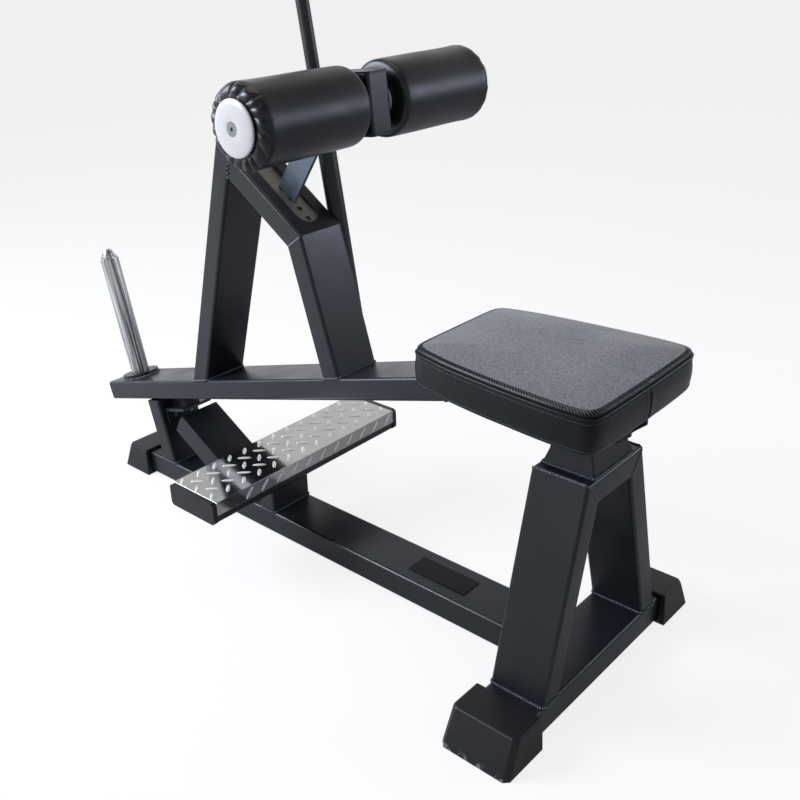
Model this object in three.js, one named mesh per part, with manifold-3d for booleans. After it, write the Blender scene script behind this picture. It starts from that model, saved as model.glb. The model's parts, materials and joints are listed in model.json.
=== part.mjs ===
import * as THREE from 'three';
import { mergeVertices } from 'three/addons/utils/BufferGeometryUtils.js';
import Module from 'manifold-3d';

// Seated calf raise machine with a plate loaded lever, in millimetres, +Z up.
// +Y runs from the seat to the loaded end of the lever, and +X is the sitter's right.
// Places along Y are measured from the middle of the seat frame. At the end the whole machine
// moves so that the origin lies on the floor under the middle of its box.

// Frame tubes: one wide side for all of them, and two thicknesses.
const frameWide = 120;
const baseTubeHigh = 60;
const legTubeThick = 50;
const tubeWall = 4;
const tubeRound = 7;
const weldGap = 0.3;
const cutReach = 4000;
const roundSteps = 2;
const circleSteps = 32;
const smallSteps = 24;
const hexagonSides = 6;
const mergeDistance = 0.001;

// Moulded feet, which hold the base tubes clear of the floor.
const floorGap = 8;
const footHigh = 75;
const footTopHalf = 74;
const footBaseHalf = 77;
const footTopLong = 80;
const footBaseLong = 112;
const footCorner = 10;
const footEdge = 3;
const footInner = 228;
const farFootInner = 1325;
const socketDepth = 70;

// Seat frame: two legs that lean together, and the bar across their tops.
const seatLegFoot = 206;
const seatLegHead = 93.4;
const seatBarTop = 484.5;
const neckBaseHalfX = 68;
const neckBaseHalfY = 54;
const neckWaistHalfX = 60;
const neckWaistHalfY = 45;
const neckWaistTop = 512;
const neckTopHalfY = 40;

// Seat beam, and the board and cushion that it carries.
const beamHalf = 30;
const beamBottom = 545;
const beamTop = 590;
const beamRear = -96;
const beamFront = 226;
const beamUndercutLong = 26;
const beamUndercutHigh = 22;
const boardThick = 12;
const boardShare = 0.86;
const boardFront = 238;
const seatClear = 1;
const seatSideHigh = 64;
const seatEdgeHigh = 12;
const seatCrown = 7;
const seatRear = -113;
const seatFront = 306;
const seatWide = 360;
const seatDraw = 2.5;
const pipingProud = 2.2;
const pipingHalf = 3;
const seatSteps = 72;

// Shares of the height of the cushion's side where it is widest, and of the crown of its top.
// Each crown pair is how far inward it lies from the edge, and how far up.
const seatSideShares = [0.35, 0.65];
const seatCrownShares = [[0.07, 0.25], [0.2, 0.62], [0.42, 0.86], [0.7, 0.97], [0.93, 1]];

// Half outline of the cushion from the middle of the rear edge to the middle of the front edge.
// The first share runs from rear to front, and the second is of the half width.
const seatOutlineShares = [
  [0, 0], [0.001, 0.3], [0.003, 0.6], [0.006, 0.8], [0.013, 0.9], [0.026, 0.955], [0.05, 0.987],
  [0.09, 0.996], [0.15, 1], [0.25, 0.994], [0.49, 0.95], [0.74, 0.878], [0.86, 0.82], [0.93, 0.78],
  [0.966, 0.745], [0.987, 0.7], [0.997, 0.62], [1, 0.45], [1, 0.2], [1, 0],
];

// Lever, its pivot under the front of the cushion, and the pieces at the pivot.
const pivotY = 261;
const pivotZ = 563;
const leverSlope = THREE.MathUtils.degToRad(16.22);
const leverStart = 32;
const leverEnd = 1258;
const endCapThick = 4;
const endCapDeep = 14;
const capFit = 0.3;
const earRadius = 24;
const earThick = 10;
const earRear = 150;
const pinRadius = 10;
const pinFit = 0.07;
const pinHeadRadius = 16;
const pinHeadThick = 11;
const pinEndProud = 2;
const barrelRadius = 22;
const barrelSide = 0.6;
const neckPlateThick = 5.7;
const neckWebHalf = 27;
const neckWebHalfHigh = 17;

// Weight horn and its flange near the loaded end of the lever.
const hornAlong = 1185.5;
const hornLean = THREE.MathUtils.degToRad(3.7);
const hornRadius = 24;
const hornLong = 352;
const hornTipLong = 27;
const hornTipRadius = 9;
const hornWall = 4;
const flangeRadius = 48;
const flangeThick = 11;
const flangeFit = 1;

// Tower on the lever: a far leg, a near leg and the sloping head between them.
const farLegNearFoot = 796.2;
const farLegLean = THREE.MathUtils.degToRad(33.2);
const headAlong = 318.5;
const headRise = 331.6;
const headTurn = THREE.MathUtils.degToRad(51);
const headLong = 297;

// Slot in the head, the sliding strip under it and the strip's guides.
const slotHalf = 27;
const slotLow = 26;
const slotHigh = 234;
const stripHalf = 50;
const stripThick = 6;
const stripLow = 10;
const stripHigh = 146;
const guideThick = 3;
const guideLow = 22;
const guideEndClear = 15;
const rackHole = 6.6;
const rackPitch = 30;
const rackCount = 4;
const rackFirst = 129.4;

// Pull pin under the head, drawn clear of the strip.
const plungerRadius = 6;
const plungerFit = 0.1;
const plungerDrawn = 0.5;
const housingRadius = 13;
const housingLong = 18;
const knobRadius = 14;
const knobLong = 12;
const knobGap = 6.3;
const knobRound = 3;

// Carriage: arm, bracket box and roller shaft.
const armHalf = 4;
const armFrontFoot = 86;
const armRearFoot = 140;
const armFrontBend = 132;
const armRearBend = 200;
const armSeatHalf = 50;
const axisAlong = 44.7;
const axisRise = 294;
const bracketLean = THREE.MathUtils.degToRad(5);
const bracketHalf = 28.5;
const bracketFront = -48;
const bracketRear = 44;
const bracketLow = -54;
const bracketHigh = 54;
const bracketCapThick = 4;
const bracketCapDeep = 12;
const shaftRadius = 12.5;
const shaftFit = 0.1;
const collarRadius = 35;
const collarBossRadius = 20;
const collarThick = 5;
const rollerInner = 46;
const rollerOuter = 307;
const rollerRadius = 73.5;
const rollerEndRadius = 54;
const rollerCrown = 1.5;
const rollerFlare = 1.5;
const rollerSideRound = 10;
const gatherLong = 12;
const coreWall = 4;
const coreFit = 0.3;
const pleatCount = 16;
const pleatDepth = 3;
const discRadius = 49.5;
const discThick = 6;
const discBevel = 2;
const discDome = 3;
const discRunGap = 0.7;
const screwHeadRadius = 13;
const screwHeadThick = 4;
const screwShankRadius = 5;
const screwDeep = 22;
const screwFit = 0.3;
const socketRadius = 4;
const socketSink = 2.5;

// Shares of the round at the inner end of a roller pad, along it and inward.
const innerRoundShares = [[0, 1], [0.04, 0.45], [0.15, 0.2], [0.45, 0.05], [1, 0]];

// Shares of the run between the two ends of a roller pad, of its crown and of its flare.
const rollerCrownShares = [[0.25, 0.7, 0], [0.5, 1, 0], [0.75, 0.7, 0.3]];

// Shares of the domed face of an end disc, from its rim to its screw, inward and up.
const discDomeShares = [[0, 0], [0.25, 0.45], [0.6, 0.85], [1, 1]];

// Shares of the gathered end of a roller pad, of the radius that it loses and of its pleat depth.
const gatherShares = [[0, 0, 0], [0.12, 0.04, 0.6], [0.4, 0.3, 1], [0.75, 0.68, 1], [1, 1, 0.5]];

// Handle at the sitter's right of the tower.
const handleRadius = 19.8;
const handleWall = 2.5;
const handleFootAlong = 389.3;
const handleLean = THREE.MathUtils.degToRad(7.2);
const handleTubeLong = 560;
const handleRodRadius = 14;
const handleRodSunk = 120;
const handleRodLong = 490;
const handleCollarLong = 22;
const handleCollarProud = 4;
const gripThick = 3;
const gripLong = 130;
const gripTop = 5;

// Foot rest: a wide tube on a post, with a folded tread sheet and end caps.
const treadNear = 737;
const treadTop = 238;
const treadThick = 3;
const treadFold = 33;
const treadHalf = 288;
const restTubeWide = 147;
const restTubeHigh = 50;
const restCapThick = 12;
const restCapDeep = 14;
const restCapRound = 9;
const postSetBack = 85;

// Rest post, slanted stop tube and rubber buffer under the loaded end of the lever.
const restPostNear = 1214;
const restPostLean = THREE.MathUtils.degToRad(14);
const restPostClear = 4;
const stopTubeTopY = 1160;
const stopTubeTopZ = 226;
const stopTubeSlope = THREE.MathUtils.degToRad(31);
const bufferRadius = 25;
const bufferHigh = 31;
const bufferAlong = 990;
const bufferRound = 4;
const ledgeHalf = 45;
const ledgeThick = 8;
const ledgeProud = 4;
const ledgeDrop = 44;
const boltDrop = 22;
const boltAside = 26;
const boltHeadRadius = 8;
const boltHeadThick = 5;
const boltShankRadius = 4;
const boltLong = 20;

// Bare plate on the spine.
const plateHalf = 27.5;
const plateLong = 155;
const plateMiddle = 339;
const plateThick = 2;

// Sizes that follow from those above.
const baseTop = floorGap + baseTubeHigh;
const wideHalf = frameWide / 2;
const legHalf = legTubeThick / 2;
const innerHalf = wideHalf - tubeWall;
const quarterTurn = Math.PI / 2;

const wasm = await Module();
wasm.setup();

const powderBlack = new THREE.MeshStandardMaterial({ color: '#24272d', roughness: 0.55, metalness: 0.25 });
const mouldedBlack = new THREE.MeshStandardMaterial({ color: '#303234', roughness: 0.6, metalness: 0 });
const grainedVinyl = new THREE.MeshStandardMaterial({ color: '#3a3a3d', roughness: 0.62, metalness: 0 });
const satinVinyl = new THREE.MeshStandardMaterial({ color: '#191b20', roughness: 0.38, metalness: 0 });
const whitePlastic = new THREE.MeshStandardMaterial({ color: '#e9ebf1', roughness: 0.25, metalness: 0 });
const brushedSteel = new THREE.MeshStandardMaterial({ color: '#b4b2ae', roughness: 0.3, metalness: 1 });
const polishedSteel = new THREE.MeshStandardMaterial({ color: '#c2bdb3', roughness: 0.18, metalness: 1 });
const zincSteel = new THREE.MeshStandardMaterial({ color: '#8d9096', roughness: 0.35, metalness: 1 });
const blackRubber = new THREE.MeshStandardMaterial({ color: '#1a1b1c', roughness: 0.75, metalness: 0 });
const birchBoard = new THREE.MeshStandardMaterial({ color: '#8a7250', roughness: 0.8, metalness: 0 });

// A closed geometry as a solid that can be joined and cut.
function solidOf(geometry) {
  const bare = geometry.clone();
  bare.deleteAttribute('normal');
  bare.deleteAttribute('uv');
  const merged = mergeVertices(bare, mergeDistance);
  return new wasm.Manifold(new wasm.Mesh({
    numProp: 3,
    vertProperties: new Float32Array(merged.attributes.position.array),
    triVerts: new Uint32Array(merged.index.array),
  }));
}

// A solid as a geometry again.
function geometryOf(solid) {
  const faces = solid.getMesh();
  const geometry = new THREE.BufferGeometry();
  geometry.setAttribute('position', new THREE.BufferAttribute(faces.vertProperties, faces.numProp));
  geometry.setIndex(new THREE.BufferAttribute(faces.triVerts, 1));
  geometry.computeVertexNormals();
  return geometry;
}

// The first geometry with all the others taken out of it.
function cut(geometry, ...removed) {
  return geometryOf(removed.reduce((solid, piece) => solid.subtract(solidOf(piece)), solidOf(geometry)));
}

// All the geometries as one body.
function join(first, ...others) {
  return geometryOf(others.reduce((solid, piece) => solid.add(solidOf(piece)), solidOf(first)));
}

// A rectangle with round corners as a closed path.
function roundedRectangle(path, halfWide, halfHigh, round) {
  path.moveTo(halfWide, round - halfHigh);
  path.lineTo(halfWide, halfHigh - round);
  path.absarc(halfWide - round, halfHigh - round, round, 0, quarterTurn, false);
  path.lineTo(round - halfWide, halfHigh);
  path.absarc(round - halfWide, halfHigh - round, round, quarterTurn, Math.PI, false);
  path.lineTo(-halfWide, round - halfHigh);
  path.absarc(round - halfWide, round - halfHigh, round, Math.PI, Math.PI + quarterTurn, false);
  path.lineTo(halfWide - round, -halfHigh);
  path.absarc(halfWide - round, round - halfHigh, round, Math.PI + quarterTurn, Math.PI * 2, false);
  return path;
}

// A flat outline extruded upwards with square edges.
function extruded(outline, depth, steps) {
  return new THREE.ExtrudeGeometry(outline, { depth, bevelEnabled: false, curveSegments: steps });
}

// A rectangular tube, open at both ends, along Z: across is its X side and thick its Y side.
function rectangularTube(across, thick, from, to) {
  const section = roundedRectangle(new THREE.Shape(), across / 2, thick / 2, tubeRound);
  const boreRound = tubeRound - tubeWall;
  const bore = roundedRectangle(new THREE.Path(), across / 2 - tubeWall, thick / 2 - tubeWall, boreRound);
  section.holes.push(bore);
  const geometry = extruded(section, to - from, roundSteps);
  geometry.translate(0, 0, from);
  return geometry;
}

// A rounded bar along Z.
function roundedBar(across, thick, round, from, to) {
  const section = roundedRectangle(new THREE.Shape(), across / 2, thick / 2, round);
  const geometry = extruded(section, to - from, roundSteps);
  geometry.translate(0, 0, from);
  return geometry;
}

// A box between two corners.
function boxBetween(low, high) {
  const geometry = new THREE.BoxGeometry(high[0] - low[0], high[1] - low[1], high[2] - low[2]);
  geometry.translate((low[0] + high[0]) / 2, (low[1] + high[1]) / 2, (low[2] + high[2]) / 2);
  return geometry;
}

// An outline in the YZ plane, extruded evenly to both sides of X = 0.
function slab(outline, half) {
  const geometry = extruded(outline, half * 2, circleSteps / 4);
  geometry.rotateZ(quarterTurn);
  geometry.rotateY(quarterTurn);
  geometry.translate(-half, 0, 0);
  return geometry;
}

// Points of the YZ plane as a straight sided outline.
function outlineOf(points) {
  return new THREE.Shape(points.map(([y, z]) => new THREE.Vector2(y, z)));
}

// A round bar along X between two places.
function barAlongX(radius, from, to, steps = circleSteps) {
  const geometry = new THREE.CylinderGeometry(radius, radius, to - from, steps);
  geometry.rotateZ(-quarterTurn);
  geometry.translate((from + to) / 2, 0, 0);
  return geometry;
}

// A round bar along Z between two places.
function barAlongZ(radius, from, to, steps = circleSteps) {
  const geometry = new THREE.CylinderGeometry(radius, radius, to - from, steps);
  geometry.rotateX(quarterTurn);
  geometry.translate(0, 0, (from + to) / 2);
  return geometry;
}

// Radius and place pairs turned about Z.
function turnedAboutZ(pairs, steps = circleSteps) {
  const geometry = new THREE.LatheGeometry(pairs.map(([r, z]) => new THREE.Vector2(r, z)), steps);
  geometry.rotateX(quarterTurn);
  return geometry;
}

// A block that removes all that lies past a plane through (y, z) facing an angle in the YZ plane.
function blockPast(y, z, facing) {
  const geometry = new THREE.BoxGeometry(cutReach, cutReach, cutReach);
  geometry.translate(0, cutReach / 2, 0);
  geometry.rotateX(facing);
  geometry.translate(0, y, z);
  return geometry;
}

// The same for a plane that faces an angle in the XZ plane.
function blockPastAcross(x, z, facing) {
  const geometry = new THREE.BoxGeometry(cutReach, cutReach, cutReach);
  geometry.translate(cutReach / 2, 0, 0);
  geometry.rotateY(-facing);
  geometry.translate(x, 0, z);
  return geometry;
}

// A closed skin over rings of points that all have the same count.
function skinOver(rings) {
  const count = rings[0].length;
  const positions = rings.flat(2);
  const faces = [];
  for (let ring = 0; ring + 1 < rings.length; ring += 1) {
    for (let step = 0; step < count; step += 1) {
      const next = (step + 1) % count;
      const here = ring * count;
      const above = here + count;
      faces.push(here + step, here + next, above + next);
      faces.push(here + step, above + next, above + step);
    }
  }
  const flat = rings[0].map(([x, y]) => new THREE.Vector2(x, y));
  const last = (rings.length - 1) * count;
  for (const [a, b, c] of THREE.ShapeUtils.triangulateShape(flat, [])) {
    faces.push(c, b, a);
    faces.push(last + a, last + b, last + c);
  }
  const geometry = new THREE.BufferGeometry();
  geometry.setAttribute('position', new THREE.Float32BufferAttribute(positions, 3));
  geometry.setIndex(faces);
  geometry.computeVertexNormals();
  return geometry;
}

// Puts a named mesh into a group.
function place(group, name, geometry, material, position = [0, 0, 0], rotation = [0, 0, 0]) {
  const mesh = new THREE.Mesh(geometry, material.clone());
  mesh.name = name;
  mesh.position.set(...position);
  mesh.rotation.set(...rotation);
  group.add(mesh);
}

const machine = new THREE.Group();

// Base: crossbar under the seat and spine to the far foot.
const crossbarReach = footInner + socketDepth - weldGap;
const crossbar = rectangularTube(baseTubeHigh, frameWide, -crossbarReach, crossbarReach);
crossbar.rotateY(quarterTurn);
const spineEnd = farFootInner + socketDepth - weldGap;
const spine = rectangularTube(frameWide, baseTubeHigh, wideHalf + weldGap, spineEnd);
spine.rotateX(-quarterTurn);
const baseMiddle = floorGap + baseTubeHigh / 2;
place(machine, 'crossbar', crossbar, powderBlack, [0, 0, baseMiddle]);
place(machine, 'spine', spine, powderBlack, [0, 0, baseMiddle]);

// One foot, with its socket opening towards -X and its rim at X = 0.
function footRing(half, long, z, inset) {
  const side = half - inset;
  const end = long - inset;
  return [
    [inset, -side, z], [end - footCorner, -side, z], [end, footCorner - side, z],
    [end, side - footCorner, z], [end - footCorner, side, z], [inset, side, z],
  ];
}
const footBody = skinOver([
  footRing(footBaseHalf, footBaseLong, 0, 0),
  footRing(footTopHalf, footTopLong, footHigh - footEdge, 0),
  footRing(footTopHalf, footTopLong, footHigh, footEdge),
]);
const socket = boxBetween(
  [-socketDepth, -wideHalf - weldGap, floorGap - weldGap],
  [socketDepth, wideHalf + weldGap, baseTop + weldGap],
);
const foot = cut(footBody, socket);
place(machine, 'foot_right', foot, mouldedBlack, [footInner, 0, 0]);
place(machine, 'foot_left', foot, mouldedBlack, [-footInner, 0, 0], [0, 0, Math.PI]);
place(machine, 'foot_far', foot, mouldedBlack, [0, farFootInner, 0], [0, 0, quarterTurn]);

// Bare plate on the spine.
const namePlate = boxBetween([-plateHalf, -plateLong / 2, 0], [plateHalf, plateLong / 2, plateThick]);
place(machine, 'name_plate', namePlate, mouldedBlack, [0, plateMiddle, baseTop + weldGap]);

// Seat legs: the outer edge of each goes from its foot place to its head place.
const legFootZ = baseTop + weldGap;
const legRun = seatLegFoot - seatLegHead;
const legRise = seatBarTop - baseTop;
const legLean = Math.atan2(legRun, legRise);
const legReach = Math.hypot(legRun, legRise);
const seatBarBottom = seatBarTop - legTubeThick;
const legInnerHead = seatLegHead + legRun * (legTubeThick / legRise) - legTubeThick / Math.cos(legLean);
const mitreFacing = Math.atan2(seatLegHead - legInnerHead, -legTubeThick);
const legTube = rectangularTube(frameWide, legTubeThick, -legTubeThick, legReach + legTubeThick);
legTube.rotateZ(quarterTurn);
legTube.translate(-legHalf, 0, 0);
legTube.rotateY(-legLean);
legTube.translate(seatLegFoot, 0, baseTop);
const seatLeg = cut(
  legTube,
  blockPastAcross(0, legFootZ, -quarterTurn),
  blockPastAcross(seatLegHead, seatBarTop, mitreFacing),
);
place(machine, 'seat_leg_right', seatLeg, powderBlack);
place(machine, 'seat_leg_left', seatLeg, powderBlack, [0, 0, 0], [0, 0, Math.PI]);

// Bar across the tops of the legs, with a mitre at each end.
const barTube = rectangularTube(legTubeThick, frameWide, -seatLegHead, seatLegHead);
barTube.rotateY(quarterTurn);
barTube.translate(0, 0, seatBarTop - legHalf);
const barEnd = seatLegHead - weldGap;
const seatBar = cut(
  barTube,
  blockPastAcross(barEnd, seatBarTop, mitreFacing + Math.PI),
  blockPastAcross(-barEnd, seatBarTop, -mitreFacing),
);
place(machine, 'seat_top_bar', seatBar, powderBlack);

// Neck between the bar and the seat beam, flared where it is welded down.
function rectangleRing(halfX, halfY, z) {
  return [[-halfX, -halfY, z], [halfX, -halfY, z], [halfX, halfY, z], [-halfX, halfY, z]];
}
const seatNeck = skinOver([
  rectangleRing(neckBaseHalfX, neckBaseHalfY, seatBarTop + weldGap),
  rectangleRing(neckWaistHalfX, neckWaistHalfY, neckWaistTop),
  rectangleRing(neckWaistHalfX, neckTopHalfY, beamBottom - weldGap),
]);
place(machine, 'seat_neck', seatNeck, powderBlack);

// Seat beam with its rear end cut away below.
const beamMiddle = (beamTop + beamBottom) / 2;
const beamTube = rectangularTube(beamHalf * 2, beamTop - beamBottom, beamRear, beamFront);
beamTube.rotateX(-quarterTurn);
beamTube.translate(0, 0, beamMiddle);
const undercutFacing = Math.PI + Math.atan2(beamUndercutLong, beamUndercutHigh);
const seatBeam = cut(beamTube, blockPast(beamRear + beamUndercutLong, beamBottom, undercutFacing));
place(machine, 'seat_beam', seatBeam, powderBlack);

// Ears that hold the pivot pin beside the beam.
const earOutline = new THREE.Shape();
earOutline.moveTo(earRear, pivotZ - earRadius);
earOutline.lineTo(pivotY, pivotZ - earRadius);
earOutline.absarc(pivotY, pivotZ, earRadius, -quarterTurn, quarterTurn, false);
earOutline.lineTo(earRear, pivotZ + earRadius);
earOutline.closePath();
const earBore = barAlongX(pinRadius + pinFit, -earThick, earThick);
earBore.translate(0, pivotY, pivotZ);
const ear = cut(slab(earOutline, earThick / 2), earBore);
const earAside = beamHalf + weldGap + earThick / 2;
place(machine, 'pivot_ear_right', ear, powderBlack, [earAside, 0, 0]);
place(machine, 'pivot_ear_left', ear, powderBlack, [-earAside, 0, 0]);

// Pivot pin with a hexagon head at the left, and its nut at the right.
const earOutside = earAside + earThick / 2;
const pinHeadInside = earOutside + weldGap;
const pinEnd = pinHeadInside + pinHeadThick + pinEndProud;
const pivotPin = join(
  barAlongX(pinRadius, -pinHeadInside - pinHeadThick / 2, pinEnd),
  barAlongX(pinHeadRadius, -pinHeadInside - pinHeadThick, -pinHeadInside, hexagonSides),
);
const pivotNut = cut(
  barAlongX(pinHeadRadius, pinHeadInside, pinHeadInside + pinHeadThick, hexagonSides),
  barAlongX(pinRadius + pinFit, 0, cutReach),
);
place(machine, 'pivot_pin', pivotPin, zincSteel, [0, pivotY, pivotZ]);
place(machine, 'pivot_nut', pivotNut, zincSteel, [0, pivotY, pivotZ]);

// Outline of the cushion, scaled about its middle line and kept inside its rear and front.
const seatHalfWide = seatWide / 2;
const seatLong = seatFront - seatRear;
const seatMiddle = (seatFront + seatRear) / 2;
const seatHalfCurve = new THREE.SplineCurve(seatOutlineShares.map(
  ([along, aside]) => new THREE.Vector2(aside * seatHalfWide, seatRear + along * seatLong),
));
const seatSide = seatHalfCurve.getSpacedPoints(seatSteps / 2);
const seatOutline = [
  ...seatSide.slice(0, -1).map((p) => [Math.max(p.x, 0), p.y]),
  ...seatSide.slice(1).reverse().map((p) => [-Math.max(p.x, 0), p.y]),
];

// The cushion's outline drawn in by a length, at a height.
function seatRing(inset, z) {
  const shareX = (seatHalfWide - inset) / seatHalfWide;
  const shareY = (seatLong / 2 - inset) / (seatLong / 2);
  return seatOutline.map(([x, y]) => [x * shareX, seatMiddle + (y - seatMiddle) * shareY, z]);
}
const seatBottom = beamTop + seatClear;
const seatSeam = seatBottom + seatSideHigh;
const seatEdge = seatSeam + seatEdgeHigh;
const cushionBody = skinOver([
  seatRing(seatEdgeHigh, seatBottom),
  seatRing(seatDraw, seatBottom + seatEdgeHigh / 2),
  ...seatSideShares.map((share) => seatRing(0, seatBottom + seatSideHigh * share)),
  seatRing(seatDraw, seatSeam - pipingHalf),
  seatRing(seatDraw - pipingProud, seatSeam - pipingHalf / 2),
  seatRing(seatDraw - pipingProud, seatSeam + pipingHalf / 2),
  seatRing(seatDraw, seatSeam + pipingHalf),
  seatRing(seatEdgeHigh / 2, seatEdge - seatEdgeHigh / 3),
  seatRing(seatEdgeHigh, seatEdge),
  ...seatCrownShares.map(([inward, up]) => seatRing(
    seatEdgeHigh + inward * (seatHalfWide - seatEdgeHigh),
    seatEdge + up * seatCrown,
  )),
]);

// Board under the cushion, sunk into it.
function boardBlank(grow, low, high) {
  const inset = seatHalfWide * (1 - boardShare) - grow;
  const blank = skinOver([seatRing(inset, low), seatRing(inset, high)]);
  return cut(blank, blockPast(boardFront + grow, low, 0));
}
const boardBottom = beamTop + weldGap;
const boardTop = boardBottom + boardThick;
const seatBoard = boardBlank(0, boardBottom, boardTop);
const cushion = cut(cushionBody, boardBlank(weldGap, boardBottom - boardThick, boardTop + weldGap));
place(machine, 'seat_board', seatBoard, birchBoard);
place(machine, 'seat_cushion', cushion, grainedVinyl);

// Foot rest: the post, the wide tube, the tread sheet folded down at its near edge and two end caps.
const restTubeTop = treadTop - treadThick - weldGap;
const restTubeBottom = restTubeTop - restTubeHigh;
const restNear = treadNear + treadThick + weldGap;
const restFar = restNear + restTubeWide;
const restMiddle = restNear + restTubeWide / 2;
const restMiddleHigh = restTubeTop - restTubeHigh / 2;
const postNear = treadNear + postSetBack;
const restPost = rectangularTube(frameWide, legTubeThick, baseTop + weldGap, restTubeBottom - weldGap);
place(machine, 'foot_rest_post', restPost, powderBlack, [0, postNear + legHalf, 0]);
const restTube = rectangularTube(restTubeHigh, restTubeWide, -treadHalf, treadHalf);
restTube.rotateY(quarterTurn);
place(machine, 'foot_rest_tube', restTube, powderBlack, [0, restMiddle, restMiddleHigh]);
const treadSheet = slab(outlineOf([
  [treadNear, treadTop - treadFold],
  [treadNear + treadThick, treadTop - treadFold],
  [treadNear + treadThick, treadTop - treadThick],
  [restFar, treadTop - treadThick],
  [restFar, treadTop],
  [treadNear, treadTop],
]), treadHalf);
place(machine, 'tread_plate', treadSheet, polishedSteel);
const restCapHigh = treadTop - restTubeBottom;
const restCapPlate = roundedBar(restCapHigh, restFar - treadNear, restCapRound, 0, restCapThick);
restCapPlate.rotateY(quarterTurn);
restCapPlate.translate(0, (treadNear + restFar) / 2 - restMiddle, (restCapHigh - restTubeHigh) / 2);
const plugInset = tubeWall + capFit;
const plugRound = tubeRound - tubeWall;
const restPlug = roundedBar(
  restTubeHigh - plugInset * 2,
  restTubeWide - plugInset * 2,
  plugRound,
  -restCapDeep,
  restCapThick / 2,
);
restPlug.rotateY(quarterTurn);
const restCapRight = join(restCapPlate, restPlug);
const restCapLeft = restCapRight.clone();
restCapLeft.scale(-1, 1, 1);
restCapLeft.setIndex([...restCapRight.index.array].reverse());
restCapLeft.computeVertexNormals();
const restEnd = treadHalf + weldGap;
place(machine, 'foot_rest_cap_right', restCapRight, mouldedBlack, [restEnd, restMiddle, restMiddleHigh]);
place(machine, 'foot_rest_cap_left', restCapLeft, mouldedBlack, [-restEnd, restMiddle, restMiddleHigh]);

// Places in the lever's own frame: Y along the lever away from the pivot, Z square to it.
function alongLever(y, z) {
  return (y - pivotY) * Math.cos(leverSlope) - (z - pivotZ) * Math.sin(leverSlope);
}
function offLever(y, z) {
  return (y - pivotY) * Math.sin(leverSlope) + (z - pivotZ) * Math.cos(leverSlope);
}

// Rest post under the loaded end: it leans away from the seat and is cut along the lever.
const postFootAlong = alongLever(restPostNear, baseTop);
const postFootOff = offLever(restPostNear, baseTop);
const postTilt = leverSlope - restPostLean;
function faceAlong(off) {
  return postFootAlong - (off - postFootOff) * Math.tan(postTilt);
}
const ledgeTop = -legHalf - weldGap - bufferHigh - weldGap;
const boltOff = ledgeTop - boltDrop;
const boltHole = barAlongZ(boltShankRadius + weldGap, -boltLong, boltLong, smallSteps);
boltHole.rotateX(quarterTurn);
boltHole.rotateX(postTilt);
boltHole.translate(boltAside, faceAlong(boltOff), boltOff);
const otherBoltHole = boltHole.clone();
otherBoltHole.translate(-boltAside * 2, 0, 0);
const postTube = rectangularTube(frameWide, legTubeThick, -legTubeThick, restPostNear / 2);
postTube.translate(0, legHalf, 0);
postTube.rotateX(-restPostLean);
postTube.translate(0, restPostNear, baseTop);
const leverHoles = [boltHole, otherBoltHole].map((hole) => {
  const placed = hole.clone();
  placed.rotateX(-leverSlope);
  placed.translate(0, pivotY, pivotZ);
  return placed;
});
const postTopDrop = (legHalf + restPostClear) / Math.cos(leverSlope);
const farRestPost = cut(
  postTube,
  blockPast(0, baseTop + weldGap, -quarterTurn),
  blockPast(pivotY, pivotZ - postTopDrop, quarterTurn - leverSlope),
  ...leverHoles,
);
place(machine, 'rest_post', farRestPost, powderBlack);

// Stop tube: slanted, with a free square end, welded to the spine at its low end.
const stopTubeLong = (stopTubeTopZ - baseTop) / Math.sin(stopTubeSlope) + frameWide;
const stopTubeBlank = rectangularTube(frameWide, baseTubeHigh, -stopTubeLong, 0);
stopTubeBlank.translate(0, baseTubeHigh / 2, 0);
stopTubeBlank.rotateX(stopTubeSlope - quarterTurn);
stopTubeBlank.translate(0, stopTubeTopY, stopTubeTopZ);
const stopTube = cut(stopTubeBlank, blockPast(0, baseTop + weldGap, -quarterTurn));
place(machine, 'stop_tube', stopTube, powderBlack);

// Bracket bolted to the near face of the rest post, and the rubber buffer that the lever lies on.
const underLever = new THREE.Group();
underLever.position.set(0, pivotY, pivotZ);
underLever.rotation.x = -leverSlope;
machine.add(underLever);
const ledgeFront = bufferAlong - bufferRadius - ledgeProud;
const ledgeLow = ledgeTop - ledgeDrop;
const ledgeUnder = ledgeTop - ledgeThick;
const bufferBracket = cut(
  slab(outlineOf([
    [ledgeFront, ledgeUnder],
    [faceAlong(ledgeUnder) - weldGap - ledgeThick, ledgeUnder],
    [faceAlong(ledgeLow) - weldGap - ledgeThick, ledgeLow],
    [faceAlong(ledgeLow) - weldGap, ledgeLow],
    [faceAlong(ledgeTop) - weldGap, ledgeTop],
    [ledgeFront, ledgeTop],
  ]), ledgeHalf),
  boltHole,
  otherBoltHole,
);
place(underLever, 'buffer_bracket', bufferBracket, powderBlack);
const rubberBuffer = turnedAboutZ([
  [0, 0],
  [bufferRadius, 0],
  [bufferRadius, bufferHigh - bufferRound],
  [bufferRadius - bufferRound, bufferHigh],
  [0, bufferHigh],
], smallSteps);
place(underLever, 'rubber_buffer', rubberBuffer, blackRubber, [0, bufferAlong, ledgeTop + weldGap]);
const bracketBolt = join(
  barAlongZ(boltShankRadius, -boltLong, boltHeadThick / 2, smallSteps),
  barAlongZ(boltHeadRadius, 0, boltHeadThick, hexagonSides),
);
bracketBolt.rotateX(quarterTurn);
const boltBack = weldGap * 2 + ledgeThick;
const boltSeat = faceAlong(boltOff) - boltBack;
const boltRise = boltOff - boltBack * Math.tan(postTilt);
for (const [side, aside] of [['right', boltAside], ['left', -boltAside]]) {
  const boltPlace = [aside, boltSeat, boltRise];
  place(underLever, `bracket_bolt_${side}`, bracketBolt, zincSteel, boltPlace, [postTilt, 0, 0]);
}

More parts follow.
